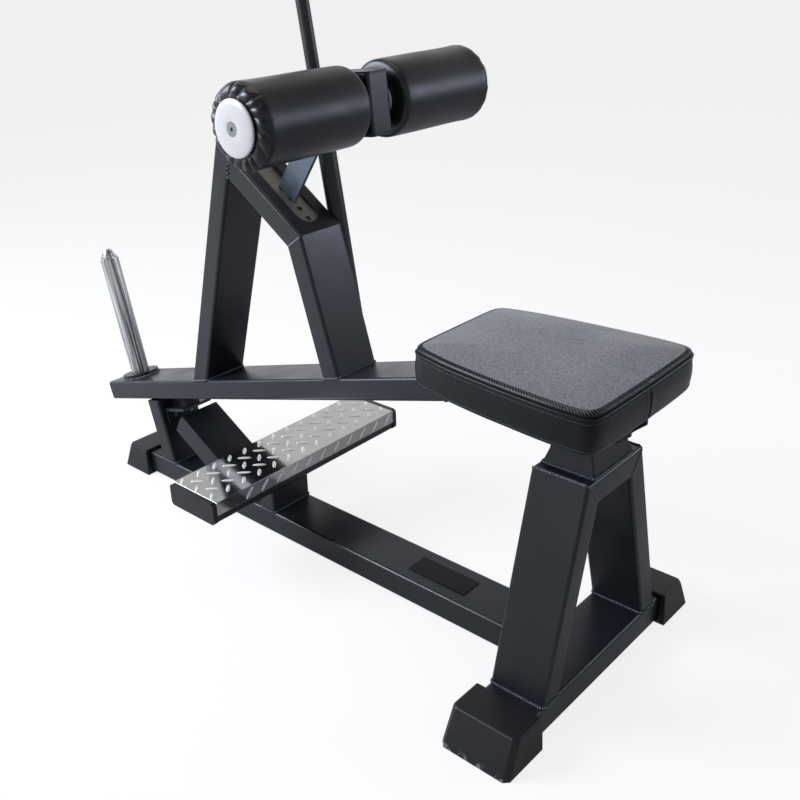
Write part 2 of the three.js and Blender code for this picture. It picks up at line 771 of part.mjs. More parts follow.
// Lever: everything below turns about the pivot.
const lever = new THREE.Group();
lever.position.set(0, pivotY, pivotZ);
lever.rotation.x = -leverSlope;
machine.add(lever);
const leverTube = rectangularTube(frameWide, legTubeThick, leverStart, leverEnd);
leverTube.rotateX(-quarterTurn);
place(lever, 'lever_tube', leverTube, powderBlack);
const endPlug = roundedBar(
  frameWide - plugInset * 2,
  legTubeThick - plugInset * 2,
  plugRound,
  -endCapDeep,
  endCapThick / 2,
);
const endCap = join(roundedBar(frameWide, legTubeThick, tubeRound, 0, endCapThick), endPlug);
endCap.rotateX(-quarterTurn);
place(lever, 'lever_end_cap', endCap, mouldedBlack, [0, leverEnd + weldGap, 0]);

// Barrel on the pivot pin, with a web and a plate that carry the lever tube.
const barrelHalf = beamHalf + weldGap - barrelSide;
const neckPlateFar = leverStart - weldGap;
const neckPlateNear = neckPlateFar - neckPlateThick;
const leverNeck = cut(
  join(
    barAlongX(barrelRadius, -barrelHalf, barrelHalf),
    boxBetween([-neckWebHalf, 0, -neckWebHalfHigh], [neckWebHalf, neckPlateFar, neckWebHalfHigh]),
    boxBetween([-wideHalf, neckPlateNear, -legHalf], [wideHalf, neckPlateFar, legHalf]),
  ),
  barAlongX(pinRadius + pinFit, -frameWide, frameWide),
);
place(lever, 'lever_neck', leverNeck, powderBlack);

// Weight horn: a hollow post with a tapered tip, open below, in the bore of its flange.
const leverTop = legHalf + weldGap;
const hornShoulder = hornLong - hornTipLong;
const hornBlank = turnedAboutZ([
  [0, -hornRadius],
  [hornRadius, -hornRadius],
  [hornRadius, hornShoulder],
  [hornTipRadius, hornLong],
  [0, hornLong],
]);
hornBlank.rotateX(hornLean);
const hornBore = turnedAboutZ([
  [0, -hornRadius * 2],
  [hornRadius - hornWall, -hornRadius * 2],
  [hornRadius - hornWall, hornShoulder],
  [0, hornShoulder + hornWall],
]);
hornBore.rotateX(hornLean);
const horn = cut(hornBlank, hornBore, blockPast(0, 0, -quarterTurn));
place(lever, 'weight_horn', horn, brushedSteel, [0, hornAlong, leverTop]);
const flangeBore = barAlongZ(hornRadius + flangeFit, -hornRadius, hornRadius);
flangeBore.rotateX(hornLean);
const flange = cut(barAlongZ(flangeRadius, 0, flangeThick), flangeBore);
place(lever, 'horn_flange', flange, powderBlack, [0, hornAlong, leverTop]);

// Far tower leg: it leans towards the seat and is cut along the top of the head.
const headTopFacing = headTurn + quarterTurn;
const farLegTube = rectangularTube(frameWide, legTubeThick, -legTubeThick, headRise * 3);
farLegTube.translate(0, legHalf, 0);
farLegTube.rotateX(farLegLean);
farLegTube.translate(0, farLegNearFoot, legHalf);
const farLeg = cut(
  farLegTube,
  blockPast(0, leverTop, -quarterTurn),
  blockPast(headAlong, headRise, headTopFacing),
);
place(lever, 'tower_leg_far', farLeg, powderBlack);

// Near tower leg: square to the lever, and mitred to the head.
const mitreTurn = (headTurn + quarterTurn) / 2;
const nearLegTube = rectangularTube(frameWide, legTubeThick, leverTop, headRise + legTubeThick);
nearLegTube.translate(0, headAlong + legHalf, 0);
const nearLeg = cut(nearLegTube, blockPast(headAlong, headRise, mitreTurn));
place(lever, 'tower_leg_near', nearLeg, powderBlack);

// Head: Y runs up along it from its low corner, and its top face lies at Z = 0.
const head = new THREE.Group();
head.position.set(0, headAlong, headRise);
head.rotation.x = headTurn;
lever.add(head);
const farLegRun = farLegNearFoot - headAlong;
const farLegDrop = headRise - legHalf;
const farLegAlong = farLegRun * Math.cos(headTurn) - farLegDrop * Math.sin(headTurn);
const farLegOff = -farLegDrop * Math.cos(headTurn) - farLegRun * Math.sin(headTurn);
const headTube = rectangularTube(frameWide, legTubeThick, -legTubeThick, headLong);
headTube.rotateX(-quarterTurn);
headTube.translate(0, 0, -legHalf);
const slotOutline = new THREE.Shape();
slotOutline.moveTo(slotHalf, slotLow + slotHalf);
slotOutline.lineTo(slotHalf, slotHigh - slotHalf);
slotOutline.absarc(0, slotHigh - slotHalf, slotHalf, 0, Math.PI, false);
slotOutline.lineTo(-slotHalf, slotLow + slotHalf);
slotOutline.absarc(0, slotLow + slotHalf, slotHalf, Math.PI, Math.PI * 2, false);
const slotCutter = extruded(slotOutline, legTubeThick, circleSteps / 4);
slotCutter.translate(0, 0, -legHalf);
const pinWay = barAlongZ(plungerRadius + plungerFit, -legTubeThick - tubeWall, -legHalf, smallSteps);
pinWay.translate(0, rackFirst, 0);
const headPiece = cut(
  headTube,
  blockPast(weldGap, 0, mitreTurn - headTurn + Math.PI),
  blockPast(farLegAlong - weldGap, farLegOff, farLegLean - headTurn),
  slotCutter,
  pinWay,
);
place(head, 'tower_head', headPiece, powderBlack);

// Guide plate that holds the strip up against the top wall of the head.
const stripTop = -tubeWall - weldGap;
const stripBottom = stripTop - stripThick;
const guideTop = stripBottom - weldGap;
const guideHalf = innerHalf - weldGap;
const guidePinWay = barAlongZ(plungerRadius + plungerFit, -legTubeThick, 0, smallSteps);
guidePinWay.translate(0, rackFirst, 0);
const guideBottom = guideTop - guideThick;
const farLegFace = farLegAlong + (guideBottom - farLegOff) * Math.tan(headTurn - farLegLean);
const guidePlate = cut(
  boxBetween([-guideHalf, guideLow, guideBottom], [guideHalf, farLegFace - guideEndClear, guideTop]),
  guidePinWay,
);
place(head, 'guide_plate', guidePlate, zincSteel);

// Pull pin in its housing under the head, drawn just clear of the strip.
const housingTop = -legTubeThick - weldGap;
const housingLow = housingTop - housingLong;
const pinHousing = turnedAboutZ([
  [plungerRadius + plungerFit, housingLow],
  [housingRadius, housingLow],
  [housingRadius, housingTop],
  [plungerRadius + plungerFit, housingTop],
  [plungerRadius + plungerFit, housingLow],
], smallSteps);
place(head, 'pin_housing', pinHousing, zincSteel, [0, rackFirst, 0]);
const knobTop = housingLow - knobGap;
const pullPin = turnedAboutZ([
  [0, knobTop - knobLong],
  [knobRadius - knobRound, knobTop - knobLong],
  [knobRadius, knobTop - knobLong + knobRound],
  [knobRadius, knobTop - knobRound],
  [knobRadius - knobRound, knobTop],
  [plungerRadius, knobTop],
  [plungerRadius, stripBottom - plungerDrawn],
  [0, stripBottom - plungerDrawn],
], smallSteps);
place(head, 'pull_pin', pullPin, zincSteel, [0, rackFirst, 0]);

// Carriage: everything below slides along the head.
const carriage = new THREE.Group();
head.add(carriage);
const rackHoles = Array.from({ length: rackCount }, (unused, step) => {
  const hole = barAlongZ(rackHole, stripBottom - stripThick, stripTop + stripThick, smallSteps);
  hole.translate(0, rackFirst - step * rackPitch, 0);
  return hole;
});
const stripBlank = boxBetween([-stripHalf, stripLow, stripBottom], [stripHalf, stripHigh, stripTop]);
const strip = cut(stripBlank, ...rackHoles);
place(carriage, 'slide_strip', strip, polishedSteel);

// Frame of the bracket box: its Z stands upright and leans a little away from the seat.
const bracketTurn = leverSlope - headTurn - bracketLean;
function bracketToHead(y, z) {
  return [
    axisAlong + y * Math.cos(bracketTurn) - z * Math.sin(bracketTurn),
    axisRise + y * Math.sin(bracketTurn) + z * Math.cos(bracketTurn),
  ];
}
const armEnd = bracketRear + weldGap;
const armFoot = stripTop + weldGap;
const arm = slab(outlineOf([
  [armFrontFoot, armFoot],
  [armRearFoot, armFoot],
  [armRearFoot, armRearBend],
  bracketToHead(armEnd, armSeatHalf),
  bracketToHead(armEnd, -armSeatHalf),
  [armFrontFoot, armFrontBend],
]), armHalf);
place(carriage, 'carriage_arm', arm, polishedSteel);

const bracket = new THREE.Group();
bracket.position.set(0, axisAlong, axisRise);
bracket.rotation.x = bracketTurn;
carriage.add(bracket);
const shaftBore = shaftRadius + shaftFit;
const bracketWide = bracketHalf * 2;
const bracketDeep = bracketRear - bracketFront;
const bracketMiddle = (bracketRear + bracketFront) / 2;
const bracketTube = rectangularTube(bracketWide, bracketDeep, bracketLow, bracketHigh);
bracketTube.translate(0, bracketMiddle, 0);
const bracketBox = cut(bracketTube, barAlongX(shaftBore, -bracketWide, bracketWide));
place(bracket, 'roller_bracket', bracketBox, powderBlack);
const bracketPlug = roundedBar(
  bracketWide - plugInset * 2,
  bracketDeep - plugInset * 2,
  plugRound,
  -bracketCapDeep,
  bracketCapThick / 2,
);
const bracketCap = join(roundedBar(bracketWide, bracketDeep, tubeRound, 0, bracketCapThick), bracketPlug);
const topCapPlace = [0, bracketMiddle, bracketHigh + weldGap];
const lowCapPlace = [0, bracketMiddle, bracketLow - weldGap];
place(bracket, 'bracket_cap_top', bracketCap, mouldedBlack, topCapPlace);
place(bracket, 'bracket_cap_bottom', bracketCap, mouldedBlack, lowCapPlace, [0, Math.PI, 0]);

// Roller shaft through the bracket, tapped at both ends, with collars, discs and screws.
const discInside = rollerOuter + discRunGap;
const shaftHalf = discInside - weldGap;
const tapRadius = screwShankRadius + screwFit;
const shaft = cut(
  barAlongX(shaftRadius, -shaftHalf, shaftHalf),
  barAlongX(tapRadius, shaftHalf - screwDeep, shaftHalf + screwDeep, smallSteps),
  barAlongX(tapRadius, -shaftHalf - screwDeep, screwDeep - shaftHalf, smallSteps),
);
place(bracket, 'roller_shaft', shaft, zincSteel);
const collarOutside = rollerInner - discRunGap;
const collarInside = bracketHalf + weldGap;
const collar = turnedAboutZ([
  [shaftBore, collarInside],
  [collarBossRadius, collarInside],
  [collarBossRadius, collarOutside - collarThick],
  [collarRadius, collarOutside - collarThick],
  [collarRadius, collarOutside],
  [shaftBore, collarOutside],
  [shaftBore, collarInside],
]);
collar.rotateY(quarterTurn);
place(bracket, 'roller_collar_right', collar, whitePlastic);
place(bracket, 'roller_collar_left', collar, whitePlastic, [0, 0, 0], [0, 0, Math.PI]);
const discOutside = discInside + discThick;
const discTop = discOutside + discDome;
const disc = turnedAboutZ([
  [tapRadius, discInside],
  [discRadius - discBevel, discInside],
  [discRadius, discInside + discBevel],
  [discRadius, discOutside - discBevel],
  ...discDomeShares.map(([inward, up]) => [
    discRadius - discBevel - inward * (discRadius - discBevel - screwHeadRadius - screwFit),
    discOutside + up * discDome,
  ]),
  [tapRadius, discTop - screwHeadThick - screwFit],
  [tapRadius, discInside],
]);
disc.rotateY(quarterTurn);
place(bracket, 'roller_disc_right', disc, whitePlastic);
place(bracket, 'roller_disc_left', disc, whitePlastic, [0, 0, 0], [0, 0, Math.PI]);
const discScrew = cut(
  turnedAboutZ([
    [0, shaftHalf - screwDeep + screwFit],
    [screwShankRadius, shaftHalf - screwDeep + screwFit],
    [screwShankRadius, discTop - screwHeadThick],
    [screwHeadRadius, discTop],
    [0, discTop],
  ], smallSteps),
  barAlongZ(socketRadius, discTop - socketSink, discTop + socketSink, hexagonSides),
);
discScrew.rotateY(quarterTurn);
place(bracket, 'disc_screw_right', discScrew, zincSteel);
place(bracket, 'disc_screw_left', discScrew, zincSteel, [0, 0, 0], [0, 0, Math.PI]);

// Rollers: each pad is crowned, with gathered pleats around its outer end, on a steel core.
const coreInside = shaftRadius + shaftFit;
const coreOutside = coreInside + coreWall;
const padBore = coreOutside + coreFit;
const padLong = rollerOuter - rollerInner;
const padSteps = pleatCount * 3;
const rollerRise = rollerRadius - rollerCrown;
const gatherRise = rollerRise + rollerFlare;
const gatherStart = rollerOuter - gatherLong;
const padProfile = [
  ...innerRoundShares.map(([along, inward]) => [
    rollerInner + along * rollerSideRound,
    rollerRise - inward * (rollerRise - collarRadius),
    0,
  ]),
  ...rollerCrownShares.map(([along, up, flare]) => [
    rollerInner + rollerSideRound + along * (padLong - rollerSideRound - gatherLong),
    rollerRise + up * rollerCrown + flare * rollerFlare,
    0,
  ]),
  ...gatherShares.map(([along, inward, pleat]) => [
    gatherStart + along * gatherLong,
    gatherRise - inward * (gatherRise - rollerEndRadius),
    pleat * pleatDepth,
  ]),
  [rollerOuter, padBore, 0],
  [rollerInner, padBore, 0],
];
const padPositions = [];
const padFaces = [];
for (let step = 0; step < padSteps; step += 1) {
  const turn = (step / padSteps) * Math.PI * 2;
  const ripple = (1 - Math.cos(turn * pleatCount)) / 2;
  for (const [x, radius, pleat] of padProfile) {
    const here = radius - pleat * ripple;
    padPositions.push(x, here * Math.cos(turn), here * Math.sin(turn));
  }
  const row = step * padProfile.length;
  const nextRow = ((step + 1) % padSteps) * padProfile.length;
  for (let place = 0; place < padProfile.length; place += 1) {
    const after = (place + 1) % padProfile.length;
    padFaces.push(row + place, nextRow + place, nextRow + after);
    padFaces.push(row + place, nextRow + after, row + after);
  }
}
const rollerPad = new THREE.BufferGeometry();
rollerPad.setAttribute('position', new THREE.Float32BufferAttribute(padPositions, 3));
rollerPad.setIndex(padFaces);
rollerPad.computeVertexNormals();
const coreHalfGap = discRunGap / 2;
const rollerCore = cut(
  barAlongX(coreOutside, rollerInner + coreHalfGap, rollerOuter - coreHalfGap),
  barAlongX(coreInside, 0, rollerOuter * 2),
);
const rollers = new THREE.Group();
bracket.add(rollers);
place(rollers, 'roller_pad_right', rollerPad, satinVinyl);
place(rollers, 'roller_pad_left', rollerPad, satinVinyl, [0, 0, 0], [0, 0, Math.PI]);
place(rollers, 'roller_core_right', rollerCore, zincSteel);
place(rollers, 'roller_core_left', rollerCore, zincSteel, [0, 0, 0], [0, 0, Math.PI]);

// Handle beside the tower: a tube welded to the lever, with a thinner rod held in its top by a collar.
const handle = new THREE.Group();
handle.position.set(wideHalf + weldGap + handleRadius, handleFootAlong, 0);
handle.rotation.x = handleLean;
lever.add(handle);
const handleBore = handleRadius - handleWall;
const handleTube = turnedAboutZ([
  [handleBore, -legHalf],
  [handleRadius, -legHalf],
  [handleRadius, handleTubeLong],
  [handleBore, handleTubeLong],
  [handleBore, -legHalf],
], smallSteps);
place(handle, 'handle_tube', handleTube, powderBlack);
const rodBore = handleRodRadius + weldGap;
const rodLow = handleTubeLong - handleRodSunk;
const collarFoot = handleTubeLong + weldGap;
const handleCollar = turnedAboutZ([
  [rodBore, rodLow],
  [handleBore - weldGap, rodLow],
  [handleBore - weldGap, collarFoot],
  [handleRadius + handleCollarProud, collarFoot],
  [handleRadius + handleCollarProud, collarFoot + handleCollarLong],
  [rodBore, collarFoot + handleCollarLong],
  [rodBore, rodLow],
], smallSteps);
place(handle, 'handle_collar', handleCollar, powderBlack);
const rodTop = rodLow + handleRodLong;
const handleRod = barAlongZ(handleRodRadius, rodLow, rodTop, smallSteps);
place(handle, 'handle_rod', handleRod, powderBlack);
const gripRadius = rodBore + gripThick;
const handleGrip = turnedAboutZ([
  [0, rodTop + weldGap],
  [rodBore, rodTop + weldGap],
  [rodBore, rodTop - gripLong],
  [gripRadius, rodTop - gripLong],
  [gripRadius, rodTop],
  [handleRodRadius, rodTop + gripTop],
  [0, rodTop + gripTop],
], smallSteps);
place(handle, 'handle_grip', handleGrip, blackRubber);

// The finished object, moved so that the origin lies on the floor under the middle of its box.
const middle = new THREE.Box3().setFromObject(machine, true).getCenter(new THREE.Vector3());
machine.position.set(-middle.x, -middle.y, 0);
const calfRaiseMachine = new THREE.Group();
calfRaiseMachine.add(machine);

export default calfRaiseMachine;
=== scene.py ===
"""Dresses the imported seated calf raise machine.

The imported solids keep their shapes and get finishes. Upholstery takes the place of the plain
soft solids, and welds, stitches, piping and the raised pattern of the tread are added. Lengths
are in metres, and named sizes are written in millimetres times MM.
"""

from __future__ import annotations

import json
import logging
import math
from dataclasses import dataclass, field
from enum import Enum
from functools import cached_property
from typing import Any, Sequence

import bpy
import numpy as np
from bpy.types import Material, Modifier, Node, NodeSocket, NodeTree, Object, World
from mathutils import Matrix, Vector

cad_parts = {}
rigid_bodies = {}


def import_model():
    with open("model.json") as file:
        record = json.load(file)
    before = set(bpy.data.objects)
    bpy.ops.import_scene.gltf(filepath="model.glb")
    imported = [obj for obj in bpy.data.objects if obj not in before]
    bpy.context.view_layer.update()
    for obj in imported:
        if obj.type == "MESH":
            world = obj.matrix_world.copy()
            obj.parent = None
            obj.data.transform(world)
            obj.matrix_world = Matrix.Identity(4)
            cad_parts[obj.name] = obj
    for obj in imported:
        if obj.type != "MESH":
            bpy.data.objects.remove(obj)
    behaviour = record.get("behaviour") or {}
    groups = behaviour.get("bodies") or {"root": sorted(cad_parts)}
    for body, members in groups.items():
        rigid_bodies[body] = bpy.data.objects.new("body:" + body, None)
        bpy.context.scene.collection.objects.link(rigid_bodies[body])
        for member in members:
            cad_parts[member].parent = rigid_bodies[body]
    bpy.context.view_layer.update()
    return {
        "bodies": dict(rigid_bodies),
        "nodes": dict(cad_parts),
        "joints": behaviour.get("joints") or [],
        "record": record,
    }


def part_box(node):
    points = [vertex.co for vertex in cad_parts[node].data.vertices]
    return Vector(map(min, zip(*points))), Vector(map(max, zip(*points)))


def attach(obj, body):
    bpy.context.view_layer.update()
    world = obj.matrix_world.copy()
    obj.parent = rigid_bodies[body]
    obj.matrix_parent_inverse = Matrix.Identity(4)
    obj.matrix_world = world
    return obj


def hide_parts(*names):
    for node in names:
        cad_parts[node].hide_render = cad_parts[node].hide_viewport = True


MM = 0.001
FULL_TURN = 2 * math.pi

log = logging.getLogger("calf_raise")


class Slot(Enum):
    """The record's material slots."""

    POWDER_COAT = "powder_coat"
    MOULDED_PLASTIC = "moulded_plastic"
    SEAT_VINYL = "seat_vinyl"
    ROLLER_VINYL = "roller_vinyl"
    PLYWOOD = "plywood"
    WHITE_PLASTIC = "white_plastic"
    BRUSHED_STEEL = "brushed_steel"
    POLISHED_STEEL = "polished_steel"
    ZINC_STEEL = "zinc_steel"
    RUBBER = "rubber"


class Body(Enum):
    """The bodies that pieces ride on."""

    BASE = "base"
    LEVER = "lever"
    CARRIAGE = "carriage"
    ROLLER_RIGHT = "roller_right"
    ROLLER_LEFT = "roller_left"


def linear(colour: str) -> tuple[float, float, float, float]:
    """Turns an sRGB hex colour to linear light.

    Args:
        colour: A colour such as "#24272d".

    Returns:
        Red, green, blue and an alpha of 1.
    """
    parts = [int(colour[place:place + 2], 16) / 255 for place in (1, 3, 5)]
    light = [c / 12.92 if c <= 0.04045 else ((c + 0.055) / 1.055) ** 2.4 for c in parts]
    return light[0], light[1], light[2], 1.0


def add_node(
    tree: NodeTree,
    kind: str,
    settings: dict[str, Any] | None = None,
    inputs: dict[str | int, Any] | None = None,
) -> Node:
    """Adds one node to a tree.

    Args:
        tree: The shader or geometry tree.
        kind: The node's type name.
        settings: Properties of the node.
        inputs: What its inputs get, as connect takes it.

    Returns:
        The new node.
    """
    node = tree.nodes.new(kind)
    for name, value in (settings or {}).items():
        setattr(node, name, value)
    connect(tree, node, inputs or {})
    return node


def connect(tree: NodeTree, node: Node, inputs: dict[str | int, Any]) -> None:
    """Sets a node's inputs, by name or number, to values, sockets or the first outputs of nodes."""
    for key, value in inputs.items():
        source = value.outputs[0] if isinstance(value, Node) else value
        if isinstance(source, NodeSocket):
            tree.links.new(source, node.inputs[key])
        else:
            node.inputs[key].default_value = source


def cleared_tree(owner: Material | World) -> NodeTree:
    """Gives a material or a world nodes, and returns its emptied tree."""
    owner.use_nodes = True
    owner.node_tree.nodes.clear()
    return owner.node_tree


@dataclass(frozen=True)
class Finish:
    """A finish with one colour. Subclasses add what the real surface shows."""

    name: str
    colour: str
    roughness: float
    metallic: float = 0.0
    ior: float = 1.5
    specular: float = 0.5

    def material(self) -> Material:
        """Builds the material once, and returns it."""
        made = bpy.data.materials.get(self.name)
        if made:
            return made
        made = bpy.data.materials.new(self.name)
        tree = cleared_tree(made)
        shader = add_node(tree, "ShaderNodeBsdfPrincipled", inputs={
            "Base Color": linear(self.colour),
            "Roughness": self.roughness,
            "Metallic": self.metallic,
            "IOR": self.ior,
            "Specular IOR Level": self.specular,
        })
        add_node(tree, "ShaderNodeOutputMaterial", inputs={"Surface": shader})
        place = add_node(tree, "ShaderNodeTexCoord").outputs["Object"]
        self.dress(tree, shader, place)
        return made

    def dress(self, tree: NodeTree, shader: Node, place: NodeSocket) -> None:
        """Adds patterns to the shader. The plain finish has none."""


@dataclass(frozen=True)
class GrainedFinish(Finish):
    """A finish with a fine grain that catches light, and slow changes of tone and gloss.

    The grain is the real one's width or, where that is too fine to show, as coarse as it needs.
    """

    second_colour: str = "#000000"
    grain: float = 2 * MM
    grain_depth: float = 0.1 * MM
    grain_strength: float = 0.3
    patch: float = 120 * MM
    gloss_change: float = 0.08

    def dress(self, tree: NodeTree, shader: Node, place: NodeSocket) -> None:
        """Adds the grain, the patches of tone and the change of gloss."""
        patches = add_node(tree, "ShaderNodeTexNoise", inputs={
            "Vector": place, "Scale": 1 / self.patch, "Detail": 3.0,
        })
        tone = add_node(tree, "ShaderNodeMix", {"data_type": "RGBA"}, {
            0: patches, 6: linear(self.colour), 7: linear(self.second_colour),
        })
        gloss = add_node(tree, "ShaderNodeMapRange", {"interpolation_type": "SMOOTHSTEP"}, {
            "Value": patches,
            "From Min": 0.2, "From Max": 0.8,
            "To Min": self.roughness - self.gloss_change, "To Max": self.roughness + self.gloss_change,
        })
        grain = add_node(tree, "ShaderNodeTexNoise", inputs={
            "Vector": place, "Scale": 1 / self.grain, "Detail": 2.0,
        })
        bump = add_node(tree, "ShaderNodeBump", inputs={
            "Height": grain, "Distance": self.grain_depth, "Strength": self.grain_strength,
        })
        connect(tree, shader, {"Base Color": tone.outputs[2], "Roughness": gloss, "Normal": bump})


@dataclass(frozen=True)
class FloorReflectionPlastic(GrainedFinish):
    """Moulded plastic with a painted reflection of the bright floor: pale patches along its lowest edges.
    """

    floor_reflection_colour: str = "#8d8f90"
    floor_reflection_high: float = 14 * MM
    floor_reflection_patch: float = 22 * MM

    def dress(self, tree: NodeTree, shader: Node, place: NodeSocket) -> None:
        """Adds the painted floor reflection over the grain."""
        super().dress(tree, shader, place)
        tone = shader.inputs["Base Color"].links[0].from_socket
        # Painted reflection of the bright floor: pale patches that fade out above the lowest edges.
        height = add_node(tree, "ShaderNodeSeparateXYZ", inputs={"Vector": place}).outputs["Z"]
        low = add_node(tree, "ShaderNodeMapRange", inputs={
            "Value": height, "From Min": 0.0, "From Max": self.floor_reflection_high, "To Min": 1.0, "To Max": 0.0,
        })
        reflection_noise = add_node(tree, "ShaderNodeTexNoise", inputs={
            "Vector": place, "Scale": 1 / self.floor_reflection_patch, "Detail": 6.0, "Roughness": 0.7,
        })
        reflection_spots = add_node(tree, "ShaderNodeMapRange", inputs={
            "Value": reflection_noise, "From Min": 0.56, "From Max": 0.66,
        })
        amount = add_node(tree, "ShaderNodeMath", {"operation": "MULTIPLY"}, {0: low, 1: reflection_spots})
        reflected = add_node(tree, "ShaderNodeMix", {"data_type": "RGBA"}, {
            0: amount, 6: tone, 7: linear(self.floor_reflection_colour),
        })
        connect(tree, shader, {"Base Color": reflected.outputs[2]})


@dataclass(frozen=True)
class GrainedVinyl(GrainedFinish):
    """Upholstery vinyl embossed with a leather grain of small cells."""

    cell: float = 2.4 * MM
    cell_depth: float = 0.25 * MM
    cell_strength: float = 0.5
    # How far the colour darkens in the creases between cells as painted shade, and lightens on their tops.
    crease_shade: float = 0.0
    sheen: float = 0.0

    def dress(self, tree: NodeTree, shader: Node, place: NodeSocket) -> None:
        """Adds the cells, painted shade in the creases between them, and the sheen over the grain."""
        super().dress(tree, shader, place)
        under = shader.inputs["Normal"].links[0].from_socket
        cells = add_node(tree, "ShaderNodeTexVoronoi", {"feature": "SMOOTH_F1"}, {
            "Vector": place, "Scale": 1 / self.cell, "Smoothness": 0.6,
        })
        bump = add_node(tree, "ShaderNodeBump", {"invert": True}, {
            "Height": cells, "Distance": self.cell_depth,
            "Strength": self.cell_strength, "Normal": under,
        })
        connect(tree, shader, {"Normal": bump, "Sheen Weight": self.sheen})
        # Painted shade: the colour darkens towards the creases between the cells and lightens on their
        # tops.
        tone = shader.inputs["Base Color"].links[0].from_socket
        shade = add_node(tree, "ShaderNodeMapRange", inputs={
            "Value": cells, "From Min": 0.1, "From Max": 0.7,
            "To Min": 1 + self.crease_shade, "To Max": 1 - self.crease_shade,
        })
        crease_shaded = add_node(tree, "ShaderNodeVectorMath", {"operation": "SCALE"}, {
            0: tone, "Scale": shade,
        })
        connect(tree, shader, {"Base Color": crease_shaded})


@dataclass(frozen=True)
class BrushedMetal(Finish):
    """Steel with brush lines that run one way."""

    second_colour: str = "#000000"
    turn_x: float = 0.0
    line_wide: float = 3.4 * MM
    line_long: float = 240 * MM
    gloss_change: float = 0.12

    def dress(self, tree: NodeTree, shader: Node, place: NodeSocket) -> None:
        """Adds lines along Z, after a turn about X that brings the piece upright."""
        upright = add_node(tree, "ShaderNodeMapping", inputs={
            "Vector": place, "Rotation": (self.turn_x, 0.0, 0.0),
        })
        stretched = add_node(tree, "ShaderNodeVectorMath", {"operation": "MULTIPLY"}, {
            0: upright,
            1: (1 / self.line_wide, 1 / self.line_wide, 1 / self.line_long),
        })
        lines = add_node(tree, "ShaderNodeTexNoise", inputs={
            "Vector": stretched, "Scale": 1.0, "Detail": 4.0,
        })
        share = add_node(tree, "ShaderNodeMapRange", {"interpolation_type": "SMOOTHSTEP"}, {
            "Value": lines, "From Min": 0.34, "From Max": 0.66,
        })
        tone = add_node(tree, "ShaderNodeMix", {"data_type": "RGBA"}, {
            0: share, 6: linear(self.colour), 7: linear(self.second_colour),
        })
        gloss = add_node(tree, "ShaderNodeMapRange", inputs={
            "Value": lines, "From Min": 0.3, "From Max": 0.7,
            "To Min": self.roughness - self.gloss_change, "To Max": self.roughness + self.gloss_change,
        })
        bump = add_node(tree, "ShaderNodeBump", inputs={
            "Height": lines, "Distance": 0.1 * MM, "Strength": 0.25,
        })
        connect(tree, shader, {"Base Color": tone.outputs[2], "Roughness": gloss, "Normal": bump})


@dataclass(frozen=True)
class PlyEdge(GrainedFinish):
    """Plywood, whose edges show its layers and whose faces show a long grain."""

    layer: float = 2.4 * MM
    layer_colour: str = "#5d4a31"

    # The wave texture's scale that shows two layers a wave, for layers of a metre.
    WAVE_SCALE = 0.16

    def dress(self, tree: NodeTree, shader: Node, place: NodeSocket) -> None:
        """Adds the layers over the grain."""
        super().dress(tree, shader, place)
        tone = shader.inputs["Base Color"].links[0].from_socket
        layers = add_node(tree, "ShaderNodeTexWave", {"bands_direction": "Z"}, {
            "Vector": place, "Scale": self.WAVE_SCALE / self.layer, "Distortion": 0.4,
        })
        mixed = add_node(tree, "ShaderNodeMix", {"data_type": "RGBA"}, {
            0: layers.outputs["Fac"], 6: linear(self.layer_colour), 7: tone,
        })
        connect(tree, shader, {"Base Color": mixed.outputs[2]})


